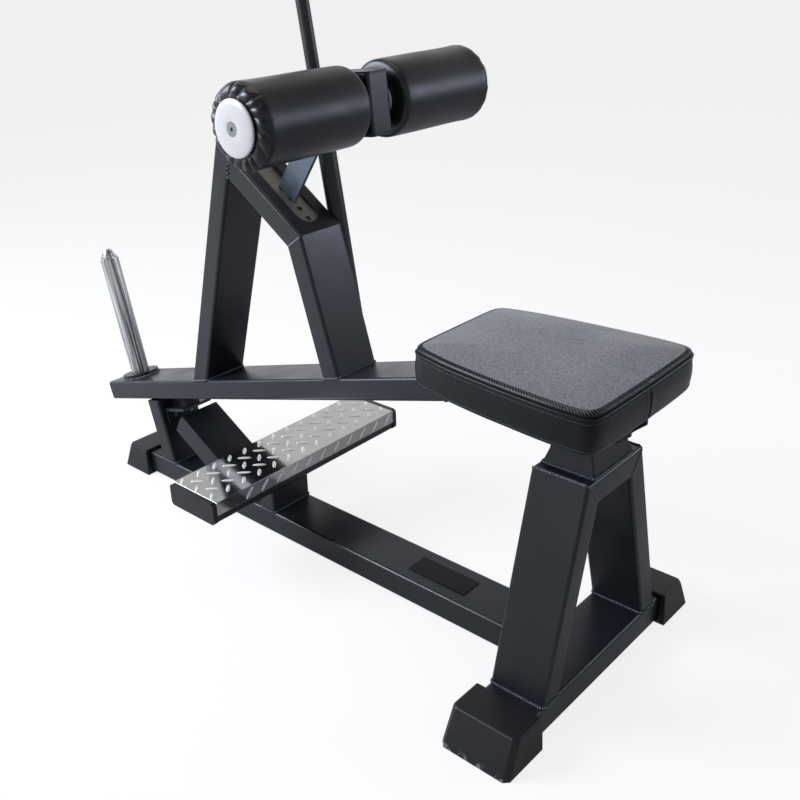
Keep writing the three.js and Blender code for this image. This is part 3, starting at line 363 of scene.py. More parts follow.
@dataclass(frozen=True)
class Finishes:
    """Every finish of the machine."""

    # Powder coated steel: baked polyester powder, which leaves a faint orange peel and a satin gloss.
    powder_coat: Finish = GrainedFinish(
        "powder_coated_steel", "#13161b", 0.33, second_colour="#181b21", grain=3 * MM,
        grain_depth=0.06 * MM, specular=0.42,
    )
    # The same coat over weld beads, glossier, and lighter in colour to paint the highlights on their
    # ripples.
    highlit_weld_coat: Finish = GrainedFinish(
        "weld_coat_painted_highlight", "#3a3f49", 0.24, second_colour="#4a505b", grain=3 * MM, grain_depth=0.05 * MM,
    )
    # Tower mitre seam: a pale metal colour that paints the highlight along the seam's slope.
    highlit_tower_seam: Finish = GrainedFinish(
        "highlit_tower_seam", "#9aa0a9", 0.35, metallic=0.7, second_colour="#80868f", grain=2 * MM,
    )
    # Moulded nylon from a spark eroded mould: a fine even grain, with a painted reflection of the floor
    # that makes it paler along its lowest edges.
    moulded_plastic: Finish = FloorReflectionPlastic(
        "moulded_nylon", "#121314", 0.4, second_colour="#1a1b1d", grain=2 * MM, grain_depth=0.1 * MM,
        specular=0.35,
    )
    # Polished acrylic plate: black, flat and glossy.
    gloss_plate: Finish = GrainedFinish(
        "polished_acrylic", "#08090a", 0.22, second_colour="#0c0d0e", grain=10 * MM, grain_depth=0.02 * MM,
        gloss_change=0.03, specular=0.14,
    )
    # Embossed PVC vinyl on the seat's top: a leather grain with a dull surface, its charcoal grey lightened
    # to paint the top's sheen.
    seat_vinyl: Finish = GrainedVinyl(
        "embossed_vinyl_painted_sheen", "#67676b", 0.46, second_colour="#737378", grain=6 * MM, grain_depth=0.5 * MM,
        grain_strength=0.5, cell=4.5 * MM, cell_depth=0.5 * MM, cell_strength=0.7, crease_shade=0.3, sheen=0.12,
        specular=0.45,
    )
    # Smooth PVC vinyl on the seat's side: a satin face with little grain.
    seat_side: Finish = GrainedVinyl(
        "smooth_vinyl", "#0c0f12", 0.3, second_colour="#111417", grain=4 * MM, cell=1.8 * MM,
        cell_depth=0.06 * MM, cell_strength=0.2, specular=0.22,
    )
    # Calendered PVC vinyl on the rollers: smooth, black and stretched tight.
    roller_vinyl: Finish = GrainedVinyl(
        "calendered_vinyl", "#0b0d12", 0.38, second_colour="#101318", grain=5 * MM, cell=2.2 * MM,
        cell_depth=0.05 * MM, cell_strength=0.2, specular=0.45,
    )
    # Bonded polyester thread: a dull grey that stands out from the vinyl.
    thread: Finish = GrainedFinish(
        "bonded_thread", "#4b5057", 0.35, second_colour="#5d636b", grain=1 * MM,
    )
    # Birch plywood, sanded and left bare.
    plywood: Finish = PlyEdge(
        "birch_plywood", "#a98f69", 0.7, second_colour="#927750", grain=6 * MM,
    )
    # Injection moulded ABS from a polished mould: a hard white gloss.
    white_plastic: Finish = GrainedFinish(
        "glossy_abs", "#d8d6d2", 0.2, second_colour="#cccac7", ior=1.53, grain=12 * MM,
        grain_depth=0.02 * MM, gloss_change=0.04,
    )
    # Drawn stainless tube with a belt finish: brush lines along its length.
    brushed_steel: Finish = BrushedMetal(
        "brushed_stainless", "#e6e6e7", 0.34, metallic=1.0, second_colour="#5c5d60",
        turn_x=math.radians(12.52),
    )
    # Bright stainless plate, rolled with raised lozenges: warm, nearly a mirror, slightly wavy.
    tread_steel: Finish = GrainedFinish(
        "bright_tread_plate", "#b5b3b0", 0.11, metallic=1.0, second_colour="#a3a19e", grain=14 * MM,
        grain_depth=0.08 * MM, patch=40 * MM, gloss_change=0.04,
    )
    # The tops of the lozenges, rubbed dull by shoes, so that they catch light from every side.
    rubbed_steel: Finish = GrainedFinish(
        "rubbed_lozenges", "#eeeeee", 0.28, metallic=0.5, second_colour="#d8d8d8", grain=2 * MM,
        patch=40 * MM,
    )
    # Cold rolled stainless strip with a mill finish: a soft, warm grey.
    satin_steel: Finish = GrainedFinish(
        "mill_finish_strip", "#8d8c86", 0.4, metallic=0.7, second_colour="#757470", grain=3 * MM,
        patch=12 * MM,
    )
    # Ground flat bar: a cool grey, dull enough to take light from one side all over.
    ground_bar: Finish = GrainedFinish(
        "ground_flat_bar", "#6f7884", 0.34, metallic=0.85, second_colour="#5d6570", grain=3 * MM,
        patch=25 * MM,
    )
    # Bright stainless strip and plate: like the tread plate, but flat.
    polished_steel: Finish = GrainedFinish(
        "polished_stainless", "#b9bcc0", 0.14, metallic=1.0, second_colour="#9fa3a8", grain=18 * MM,
        grain_depth=0.05 * MM, patch=30 * MM, gloss_change=0.05,
    )
    # Zinc plated fixings: a bright, slightly blue grey.
    zinc_steel: Finish = GrainedFinish(
        "zinc_plated_steel", "#9ea2a8", 0.3, metallic=1.0, second_colour="#8a8e94", grain=2 * MM,
        patch=15 * MM,
    )
    # Moulded rubber: dull, with a fine grain.
    rubber: Finish = GrainedFinish(
        "moulded_rubber", "#17181a", 0.7, second_colour="#1e1f21", grain=2 * MM,
    )

    def of_slot(self, slot: Slot) -> Finish:
        """Returns the finish of a record slot's solids, which has the slot's name."""
        return getattr(self, slot.value)


def added(name: str, data: Any) -> Object:
    """Makes an object of some data and adds it to the scene."""
    made = bpy.data.objects.new(name, data)
    bpy.context.scene.collection.objects.link(made)
    return made


def places_of(mesh: bpy.types.Mesh) -> np.ndarray:
    """Returns the places of a mesh's points."""
    places = np.zeros(len(mesh.vertices) * 3, np.float32)
    mesh.vertices.foreach_get("co", places)
    return places.reshape(-1, 3)


def mesh_object(
    name: str,
    points: Sequence[Sequence[float]],
    faces: Sequence[Sequence[int]] = (),
    edges: Sequence[Sequence[int]] = (),
) -> Object:
    """Makes a mesh object at the origin.

    Args:
        name: The object's name.
        points: Places in metres.
        faces: Point numbers of each face, counterclockwise from outside.
        edges: Point numbers of each loose edge.

    Returns:
        The object, linked to the scene, with smooth faces.
    """
    mesh = bpy.data.meshes.new(name)
    mesh.from_pydata([tuple(p) for p in points], [tuple(e) for e in edges], [tuple(f) for f in faces])
    mesh.validate()
    for face in mesh.polygons:
        face.use_smooth = True
    return added(name, mesh)


def closed_path(count: int, start: int = 0) -> list[tuple[int, int]]:
    """Returns the edges of a closed path of points."""
    return [(start + step, start + (step + 1) % count) for step in range(count)]


def ring_faces(rings: int, around: int) -> list[tuple[int, int, int, int]]:
    """Returns the faces between rings of points that follow each other."""
    faces = []
    for ring in range(rings - 1):
        here, above = ring * around, (ring + 1) * around
        for step in range(around):
            after = (step + 1) % around
            faces.append((here + step, here + after, above + after, above + step))
    return faces


class TreeMaker:
    """Geometry trees for what repeats or follows a path, each built once and shared."""

    SEED = 7

    @staticmethod
    def begin(name: str, sockets: dict[str, tuple[str, ...]]) -> tuple[NodeTree, Any]:
        """Starts a geometry tree.

        Args:
            name: The tree's name.
            sockets: The names of its inputs after the geometry, by their type.

        Returns:
            The tree and the sockets of its input node by name.
        """
        tree = bpy.data.node_groups.new(name, "GeometryNodeTree")
        tree.interface.new_socket("Geometry", in_out="INPUT", socket_type="NodeSocketGeometry")
        for kind, names in sockets.items():
            for socket in names:
                tree.interface.new_socket(socket, in_out="INPUT", socket_type=f"NodeSocket{kind}")
        tree.interface.new_socket("Geometry", in_out="OUTPUT", socket_type="NodeSocketGeometry")
        return tree, add_node(tree, "NodeGroupInput").outputs

    @staticmethod
    def end(tree: NodeTree, shape: Node, finish: NodeSocket) -> None:
        """Ends a tree with real geometry, smooth faces and a finish."""
        real = add_node(tree, "GeometryNodeRealizeInstances", inputs={"Geometry": shape})
        smooth = add_node(tree, "GeometryNodeSetShadeSmooth", inputs={"Geometry": real})
        dressed = add_node(tree, "GeometryNodeSetMaterial", inputs={
            "Geometry": smooth, "Material": finish,
        })
        add_node(tree, "NodeGroupOutput", inputs={0: dressed})

    @cached_property
    def beads(self) -> NodeTree:
        """Returns the tree that sets egg shaped beads along paths: weld ripples and stitches."""
        tree, given = self.begin("beads_along_paths", {
            "Float": ("Pitch", "Long", "Wide", "Uneven"), "Material": ("Finish",),
        })
        path = add_node(tree, "GeometryNodeMeshToCurve", inputs={"Mesh": given["Geometry"]})
        steps = add_node(tree, "GeometryNodeResampleCurve", {"mode": "LENGTH"}, {
            "Curve": path, "Length": given["Pitch"],
        })
        egg = add_node(tree, "GeometryNodeMeshUVSphere", inputs={"Segments": 8, "Rings": 5, "Radius": 0.5})
        tangent = add_node(tree, "GeometryNodeInputTangent")
        turn = add_node(tree, "FunctionNodeAlignRotationToVector", {"axis": "X"}, {"Vector": tangent})
        size = add_node(tree, "ShaderNodeCombineXYZ", inputs={
            "X": given["Long"], "Y": given["Wide"], "Z": given["Wide"],
        })
        least = add_node(tree, "ShaderNodeMath", {"operation": "SUBTRACT"}, {0: 1.0, 1: given["Uneven"]})
        change = add_node(tree, "FunctionNodeRandomValue", {"data_type": "FLOAT"}, {
            2: least, 3: 1.0, "Seed": self.SEED,
        })
        scaled = add_node(tree, "ShaderNodeVectorMath", {"operation": "SCALE"}, {
            0: size, "Scale": change.outputs[1],
        })
        set_out = add_node(tree, "GeometryNodeInstanceOnPoints", inputs={
            "Points": steps, "Instance": egg,
            "Rotation": turn, "Scale": scaled,
        })
        self.end(tree, set_out, given["Finish"])
        return tree

    @cached_property
    def tubes(self) -> NodeTree:
        """Returns the tree that sweeps a round section along paths: piping, slanted stitches and seams."""
        tree, given = self.begin("tubes_along_paths", {"Float": ("Radius",), "Material": ("Finish",)})
        path = add_node(tree, "GeometryNodeMeshToCurve", inputs={"Mesh": given["Geometry"]})
        section = add_node(tree, "GeometryNodeCurvePrimitiveCircle", inputs={
            "Resolution": 10, "Radius": given["Radius"],
        })
        swept = add_node(tree, "GeometryNodeCurveToMesh", inputs={
            "Curve": path, "Profile Curve": section, "Fill Caps": True,
        })
        self.end(tree, swept, given["Finish"])
        return tree

    @cached_property
    def lozenges(self) -> NodeTree:
        """Returns the tree that sets crossed lozenges on a flat sheet, alternately turned."""
        tree, given = self.begin("crossed_lozenges", {
            "Float": ("Pitch X", "Pitch Y", "Turn"), "Int": ("Columns", "Rows"),
            "Vector": ("Size", "Move", "Tilt"), "Material": ("Finish",),
        })
        lens = add_node(tree, "GeometryNodeMeshUVSphere", inputs={
            "Segments": 14, "Rings": 6, "Radius": 0.5,
        })
        both = add_node(tree, "GeometryNodeJoinGeometry")
        # The second field, turned the other way, fills the first one's gaps with one row less each way.
        for way, fewer in ((1.0, 0.0), (-1.0, 1.0)):
            sizes: dict[str, Node] = {}
            for axis, number in (("X", "Columns"), ("Y", "Rows")):
                count = add_node(tree, "ShaderNodeMath", {"operation": "SUBTRACT"}, {
                    0: given[number], 1: fewer,
                })
                gaps = add_node(tree, "ShaderNodeMath", {"operation": "SUBTRACT"}, {0: count, 1: 1.0})
                sizes[f"Vertices {axis}"] = count
                sizes[f"Size {axis}"] = add_node(tree, "ShaderNodeMath", {"operation": "MULTIPLY"}, {
                    0: gaps, 1: given[f"Pitch {axis}"],
                })
            grid = add_node(tree, "GeometryNodeMeshGrid", inputs=sizes)
            angle = add_node(tree, "ShaderNodeMath", {"operation": "MULTIPLY"}, {
                0: given["Turn"], 1: way,
            })
            turn = add_node(tree, "ShaderNodeCombineXYZ", inputs={"Z": angle})
            set_out = add_node(tree, "GeometryNodeInstanceOnPoints", inputs={
                "Points": grid, "Instance": lens,
                "Rotation": turn, "Scale": given["Size"],
            })
            connect(tree, both, {0: set_out})
        placed = add_node(tree, "GeometryNodeTransform", inputs={
            "Geometry": both, "Translation": given["Move"],
            "Rotation": given["Tilt"],
        })
        self.end(tree, placed, given["Finish"])
        return tree

    @cached_property
    def crisp_edges(self) -> NodeTree:
        """Returns the tree that merges a solid's loose triangles and keeps its edges crisp."""
        tree, given = self.begin("crisp_edges", {"Float": ("Crisp Angle",)})
        merged = add_node(tree, "GeometryNodeMergeByDistance", inputs={
            "Geometry": given["Geometry"], "Distance": 0.01 * MM,
        })
        smooth = add_node(tree, "GeometryNodeSetShadeSmooth", inputs={"Geometry": merged})
        angle = add_node(tree, "GeometryNodeInputMeshEdgeAngle")
        sharp = add_node(tree, "FunctionNodeCompare", {"operation": "GREATER_THAN"}, {
            0: angle.outputs["Unsigned Angle"], 1: given["Crisp Angle"],
        })
        crisp = add_node(tree, "GeometryNodeSetShadeSmooth", {"domain": "EDGE"}, {
            "Geometry": smooth, "Selection": sharp, "Shade Smooth": False,
        })
        add_node(tree, "NodeGroupOutput", inputs={0: crisp})
        return tree


def set_inputs(modifier: Modifier, values: dict[str, Any]) -> None:
    """Sets a geometry modifier's inputs by the identifiers of its tree's sockets."""
    for item in modifier.node_group.interface.items_tree:
        if item.in_out == "INPUT" and item.name in values:
            modifier[item.identifier] = values[item.name]


def grown(
    name: str,
    tree: NodeTree,
    values: dict[str, Any],
    points: Sequence[Sequence[float]] = ((0, 0, 0),),
    edges: Sequence[Sequence[int]] = (),
) -> Object:
    """Runs a geometry tree and keeps its result as a plain mesh.

    Args:
        name: The new object's name.
        tree: The geometry tree.
        values: The tree's inputs by name.
        points: Points of the paths that it follows.
        edges: Edges of those paths.

    Returns:
        The object with its finished mesh and no modifier.
    """
    piece = mesh_object(name, points, edges=edges)
    modifier = piece.modifiers.new("grow", "NODES")
    modifier.node_group = tree
    set_inputs(modifier, values)
    evaluated = piece.evaluated_get(bpy.context.evaluated_depsgraph_get())
    made = bpy.data.meshes.new_from_object(evaluated)
    piece.modifiers.remove(modifier)
    piece.data = made
    made.name = name
    return piece


def grown_along(
    name: str,
    tree: NodeTree,
    values: dict[str, Any],
    paths: Sequence[Sequence[Sequence[float]]],
    closed: bool = True,
) -> Object:
    """Runs a geometry tree along several paths.

    Args:
        name: The new object's name.
        tree: The geometry tree.
        values: The tree's inputs by name.
        paths: The points of each path in order.
        closed: Whether each path ends where it starts.

    Returns:
        The object with its finished mesh and no modifier.
    """
    edges: list[tuple[int, int]] = []
    start = 0
    for path in paths:
        edges += closed_path(len(path), start)[: None if closed else -1]
        start += len(path)
    return grown(name, tree, values, np.concatenate(paths), edges)


def hand_over(piece: Object, body: Body) -> None:
    """Makes a piece ride on its body and reports it."""
    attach(piece, body.value)
    log.info("%s: %d faces, on %s", piece.name, len(piece.data.polygons), body.value)


@dataclass
class SolidDressing:
    """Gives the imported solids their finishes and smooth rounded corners."""

    nodes: dict[str, Object]
    record: dict[str, Any]
    trees: TreeMaker
    finishes: Finishes
    crisp_angle: float = math.radians(50)
    ease_angle: float = math.radians(25)
    ease_steps: int = 2
    # Pieces whose sharp solid edges are rounded a little, and by how much.
    eased: dict[str, float] = field(default_factory=lambda: {
        "tread_plate": 1.2 * MM, "carriage_arm": 0.6 * MM, "slide_strip": 0.5 * MM,
        "buffer_bracket": 1.2 * MM, "name_plate": 0.6 * MM, "foot_right": 2.0 * MM,
        "foot_left": 2.0 * MM, "foot_far": 2.0 * MM, "seat_neck": 2.5 * MM, "roller_bracket": 0.8 * MM,
    })

    def build(self) -> None:
        """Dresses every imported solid."""
        kinds = self.finishes
        special = {
            "tread_plate": kinds.tread_steel, "slide_strip": kinds.satin_steel,
            "carriage_arm": kinds.ground_bar, "guide_plate": kinds.satin_steel,
            "name_plate": kinds.gloss_plate,
        }
        for entry in self.record["subparts"]:
            piece = self.nodes[entry["node"]]
            finish = special.get(piece.name, kinds.of_slot(Slot(entry["material_slot"])))
            for place in piece.material_slots:
                place.material = finish.material()
            self.smooth(piece)
        log.info("dressed %d solids", len(self.record["subparts"]))

    def smooth(self, piece: Object) -> None:
        """Smooths a solid's rounded corners and eases the edges that the real piece has eased."""
        crisp = piece.modifiers.new("crisp_edges", "NODES")
        crisp.node_group = self.trees.crisp_edges
        set_inputs(crisp, {"Crisp Angle": self.crisp_angle})
        if piece.name in self.eased:
            bevel = piece.modifiers.new("eased_edges", "BEVEL")
            bevel.width = self.eased[piece.name]
            bevel.segments = self.ease_steps
            bevel.limit_method = "ANGLE"
            bevel.angle_limit = self.ease_angle
        even = piece.modifiers.new("even_normals", "WEIGHTED_NORMAL")
        even.keep_sharp = True
        even.weight = 100


def settle(piece: Object, held: list[int], pressure: float, frames: int, most: float) -> None:
    """Lets a cover swell by cloth simulation and keeps the result in its mesh.

    Args:
        piece: The cover.
        held: Point numbers that stay in place, such as those at seams.
        pressure: The push from inside.
        frames: How many steps the cover takes.
        most: How far a point may move.
    """
    scene = bpy.context.scene
    group = piece.vertex_groups.new(name="held")
    group.add(held, 1.0, "REPLACE")
    cloth = piece.modifiers.new("cloth", "CLOTH")
    cloth.settings.quality = 6
    cloth.settings.mass = 0.3
    cloth.settings.tension_stiffness = 25
    cloth.settings.compression_stiffness = 25
    cloth.settings.shear_stiffness = 15
    cloth.settings.bending_stiffness = 4
    cloth.settings.vertex_group_mass = "held"
    cloth.settings.use_pressure = True
    cloth.settings.uniform_pressure_force = pressure
    cloth.settings.effector_weights.gravity = 0
    cloth.point_cache.frame_end = frames
    for frame in range(1, frames + 1):
        scene.frame_set(frame)
    evaluated = piece.evaluated_get(bpy.context.evaluated_depsgraph_get())
    before = places_of(piece.data)
    move = places_of(evaluated.data) - before
    far = np.linalg.norm(move, axis=1, keepdims=True)
    move *= np.minimum(1.0, most / np.maximum(far, most / 100))
    piece.modifiers.remove(cloth)
    piece.vertex_groups.remove(group)
    piece.data.vertices.foreach_set("co", (before + move).ravel())
    piece.data.update()
    scene.frame_set(1)
    log.info("%s: cloth moved up to %.1f mm", piece.name, float(far.max()) / MM)


@dataclass(frozen=True)
class Beads:
    """The sizes of a row of beads: their distance, length and width, and how much they differ."""

    pitch: float
    long: float
    wide: float
    uneven: float = 0.15

    def inputs(self, finish: Finish) -> dict[str, Any]:
        """Returns the inputs of the tree that sets out the beads."""
        return {
            "Pitch": self.pitch, "Long": self.long, "Wide": self.wide, "Uneven": self.uneven,
            "Finish": finish.material(),
        }


@dataclass
class SeatCushion:
    """The padded seat: grained top, rolled edge with piping and stitches, and smooth sides."""

    trees: TreeMaker
    finishes: Finishes
    side_high: float = 64 * MM
    # The upright seam in the middle of the rear: its groove, and the puffs beside it.
    rear_deep: float = 20 * MM
    groove_wide: float = 1.8 * MM
    groove_deep: float = 2.2 * MM
    puff_high: float = 0.7 * MM
    puff_aside: float = 7 * MM
    puff_wide: float = 4 * MM
    # The slow waves of the side, which fade below the piping.
    wave_high: float = 0.35 * MM
    waves_around: int = 9
    wave_climb: float = 40
    fade_high: float = 8 * MM
    piping_radius: float = 2.3 * MM
    piping_inset: float = 2.2 * MM
    station_step: float = 6 * MM
    board_gap: float = 0.6 * MM
    recess_low: float = 0.4 * MM
    tick_radius: float = 0.45 * MM
    tick_apart: float = 4 * MM
    pressure: float = 1.5
    swell_frames: int = 12
    swell_most: float = 1.6 * MM
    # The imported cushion's box, the board's upper corner and the outline, which build sets.
    low: Vector = field(init=False)
    high: Vector = field(init=False)
    board_high: Vector = field(init=False)
    outline: np.ndarray = field(init=False)

    # Half outline from the middle of the rear edge to the middle of the front edge: shares of the
    # length, and of the half width.
    OUTLINE_SHARES = (
        (0, 0), (0.001, 0.3), (0.003, 0.6), (0.006, 0.8), (0.013, 0.9), (0.026, 0.955), (0.05, 0.987),
        (0.09, 0.996), (0.15, 1), (0.25, 0.994), (0.49, 0.95), (0.74, 0.878), (0.86, 0.82), (0.93, 0.78),
        (0.966, 0.745), (0.987, 0.7), (0.997, 0.62), (1, 0.45), (1, 0.2), (1, 0),
    )
    # Rings from the bottom edge up to the roll above the piping: inset and height in millimetres.
    SIDE_RINGS = (
        (16, 0), (9, 0), (4.5, 0.6), (2.6, 2.6), (2.2, 6), (1.5, 12), (0.7, 20), (0.2, 29), (0.2, 37),
        (0.8, 45), (1.5, 51), (2.1, 56), (2.6, 60), (3.6, 63), (4.4, 64.2), (3.7, 65.6), (3.2, 68),
        (4.0, 71), (6.2, 73.8), (9.6, 75.6), (12.6, 76.2),
    )
    # Rings of the top panel from its stitched edge to the middle.
    TOP_RINGS = (
        (14.4, 76.1), (16.4, 76.5), (20, 77.6), (27, 78.9), (38, 80.2), (54, 81.3), (74, 82.1), (98, 82.6),
        (124, 82.9), (150, 83),
    )
    # Rings of the side that stay in place when the cover swells: those at its seams and the lowest ones.
    SEAM_RINGS = (13, 14, 20)
    LOW_RINGS = 4
    # Stations beside the rear seam, in millimetres from it.
    SEAM_STATIONS = (0, 0.8, 1.6, 2.6, 4.0, 6.0, 9.0)
    KNOT_STEPS = 24
    # Stitch rows: inset, height and how far they stand out, in millimetres.
    STITCH_ROWS = ((2.0, 56.4, 0.5), (2.4, 7.2, 0.5))
    STITCHES = Beads(5.4 * MM, 4.2 * MM, 1.1 * MM, 0.1)
    # The slanted stitches over the roll, from its upper seam to its lower one.
    TICK = ((11.6, 76.5), (8.6, 75.8), (5.8, 74.2), (4.0, 71.6))

    def build(self) -> None:
        """Builds the cushion, its piping and its stitches."""
        self.low, self.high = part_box("seat_cushion")
        _, self.board_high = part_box("seat_board")
        self.outline = self.spread_outline()
        self.cover()
        thread = self.finishes.thread
        self.sew("seat_piping", self.trees.tubes, {
            "Radius": self.piping_radius, "Finish": self.finishes.seat_side.material(),
        }, [self.ring(self.piping_inset, self.side_high)])
        rows = [self.ring((inset - out) * MM, height * MM) for inset, height, out in self.STITCH_ROWS]
        self.sew("seat_stitches", self.trees.beads, self.STITCHES.inputs(thread), rows)
        self.sew("seat_ticks", self.trees.tubes, {
            "Radius": self.tick_radius, "Finish": thread.material(),
        }, self.ticks(), closed=False)

    def sew(
        self, name: str, tree: NodeTree, inputs: dict[str, Any], paths: Sequence[Any], closed: bool = True,
    ) -> None:
        """Builds what follows the seams and gives it to the base."""
        hand_over(grown_along(name, tree, inputs, paths, closed), Body.BASE)

    def spread_outline(self) -> np.ndarray:
        """Returns the outline as even stations, closer together at the rear seam."""
        half = self.high.x
        long = self.high.y - self.low.y
        knots = [(aside * half, self.low.y + along * long) for along, aside in self.OUTLINE_SHARES]
        curve = smooth_curve(knots, self.KNOT_STEPS)
        steps = np.concatenate([[0], np.cumsum(np.linalg.norm(np.diff(curve, axis=0), axis=1))])
        near = np.array(self.SEAM_STATIONS) * MM
        count = int((steps[-1] - near[-1]) / self.station_step)
        stations = np.concatenate([near, np.linspace(near[-1], steps[-1], count + 1)[1:]])
        side = np.stack([np.interp(stations, steps, curve[:, axis]) for axis in (0, 1)], axis=1)
        side[:, 0] = np.maximum(side[:, 0], 0)
        other = side[1:-1][::-1] * (-1, 1)
        return np.concatenate([side, other])

    def ring(self, inset: float, height: float) -> np.ndarray:
        """Returns the outline drawn in by an inset, at a height over the cushion's bottom."""
        half = self.high.x
        half_long = (self.high.y - self.low.y) / 2
        middle = (self.high.y + self.low.y) / 2
        x = self.outline[:, 0] * (half - inset) / half
        y = middle + (self.outline[:, 1] - middle) * (half_long - inset) / half_long
        return np.stack([x, y, np.full(len(x), self.low.z + height)], axis=1)

    def side_ring(self, inset: float, height: float) -> np.ndarray:
        """Returns a ring of the side, with the groove of the upright rear seam and a slight sag."""
        ring = self.ring(inset, height)
        rear = ring[:, 1] < self.low.y + self.rear_deep
        groove = self.groove_deep * np.exp(-(ring[:, 0] / self.groove_wide) ** 2)
        puff = self.puff_high * np.exp(-((np.abs(ring[:, 0]) - self.puff_aside) / self.puff_wide) ** 2)
        fade = min(1.0, max(0.0, (self.side_high - height) / self.fade_high))
        ring[:, 1] += np.where(rear, (groove - puff) * fade, 0)
        around = np.arctan2(ring[:, 1] - (self.low.y + self.high.y) / 2, ring[:, 0])
        wave = self.wave_high * np.sin(around * self.waves_around + height * self.wave_climb) * fade
        return ring + np.stack([np.cos(around) * wave, np.sin(around) * wave, wave * 0], axis=1)

    def cover(self) -> None:
        """Builds the cover as one closed skin, lets it swell and gives it to the base."""
        board_inset = self.high.x - self.board_high.x - self.board_gap
        board_top = self.board_high.z - self.low.z + self.board_gap
        recess = [self.ring(board_inset, height) for height in (board_top, self.recess_low)]
        for ring in recess:
            ring[:, 1] = np.minimum(ring[:, 1], self.board_high.y + self.board_gap)
        sides = [self.side_ring(inset * MM, height * MM) for inset, height in self.SIDE_RINGS]
        tops = [self.ring(inset * MM, height * MM) for inset, height in self.TOP_RINGS]
        rings = recess + sides + tops
        around = len(self.outline)
        points = np.concatenate(rings)
        ends = np.array([recess[0].mean(axis=0), tops[-1].mean(axis=0)])
        points = np.concatenate([points, ends])
        faces: list[tuple[int, ...]] = list(ring_faces(len(rings), around))
        last = (len(rings) - 1) * around
        for step in range(around):
            after = (step + 1) % around
            faces.append((len(points) - 2, after, step))
            faces.append((len(points) - 1, last + step, last + after))
        piece = mesh_object("seat_cover", points, faces)
        piece.data.materials.append(self.finishes.seat_side.material())
        piece.data.materials.append(self.finishes.seat_vinyl.material())
        top_start = (len(recess) + len(sides) - 1) * around
        for face in piece.data.polygons:
            face.material_index = int(min(face.vertices) >= top_start)
        held_rings = list(range(len(recess) + self.LOW_RINGS))
        held_rings += [len(recess) + ring for ring in self.SEAM_RINGS]
        held = [ring * around + step for ring in held_rings for step in range(around)]
        settle(piece, held + [len(points) - 2], self.pressure, self.swell_frames, self.swell_most)
        smooth = piece.modifiers.new("smooth", "SUBSURF")
        smooth.levels = 1
        smooth.render_levels = 1
        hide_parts("seat_cushion")
        hand_over(piece, Body.BASE)

    def ticks(self) -> list[list[np.ndarray]]:
        """Returns the slanted stitches that cross the roll."""
        rows = [self.ring(inset * MM, height * MM) for inset, height in self.TICK]
        shares = np.linspace(0, 1, len(rows))
        found = []
        for step, place in enumerate(rows[0]):
            if np.linalg.norm(place - rows[0][step - 1]) > self.tick_apart:
                after = (step + 1) % len(self.outline)
                slant = zip(rows, shares)
                found.append([row[step] + (row[after] - row[step]) * share for row, share in slant])
        return found


def smooth_curve(knots: Sequence[tuple[float, float]], steps: int) -> np.ndarray:
    """Returns a smooth curve through knots, with a number of steps between each two."""
    ends = [knots[0], *knots, knots[-1]]
    found = []
    for a, b, c, d in zip(ends, ends[1:], ends[2:], ends[3:]):
        a, b, c, d = (np.array(p) for p in (a, b, c, d))
        for step in range(steps):
            t = step / steps
            bend = 2 * a - 5 * b + 4 * c - d + t * (3 * (b - c) + d - a)
            found.append(b + 0.5 * t * (c - a + t * bend))
    found.append(np.array(knots[-1]))
    return np.array(found)


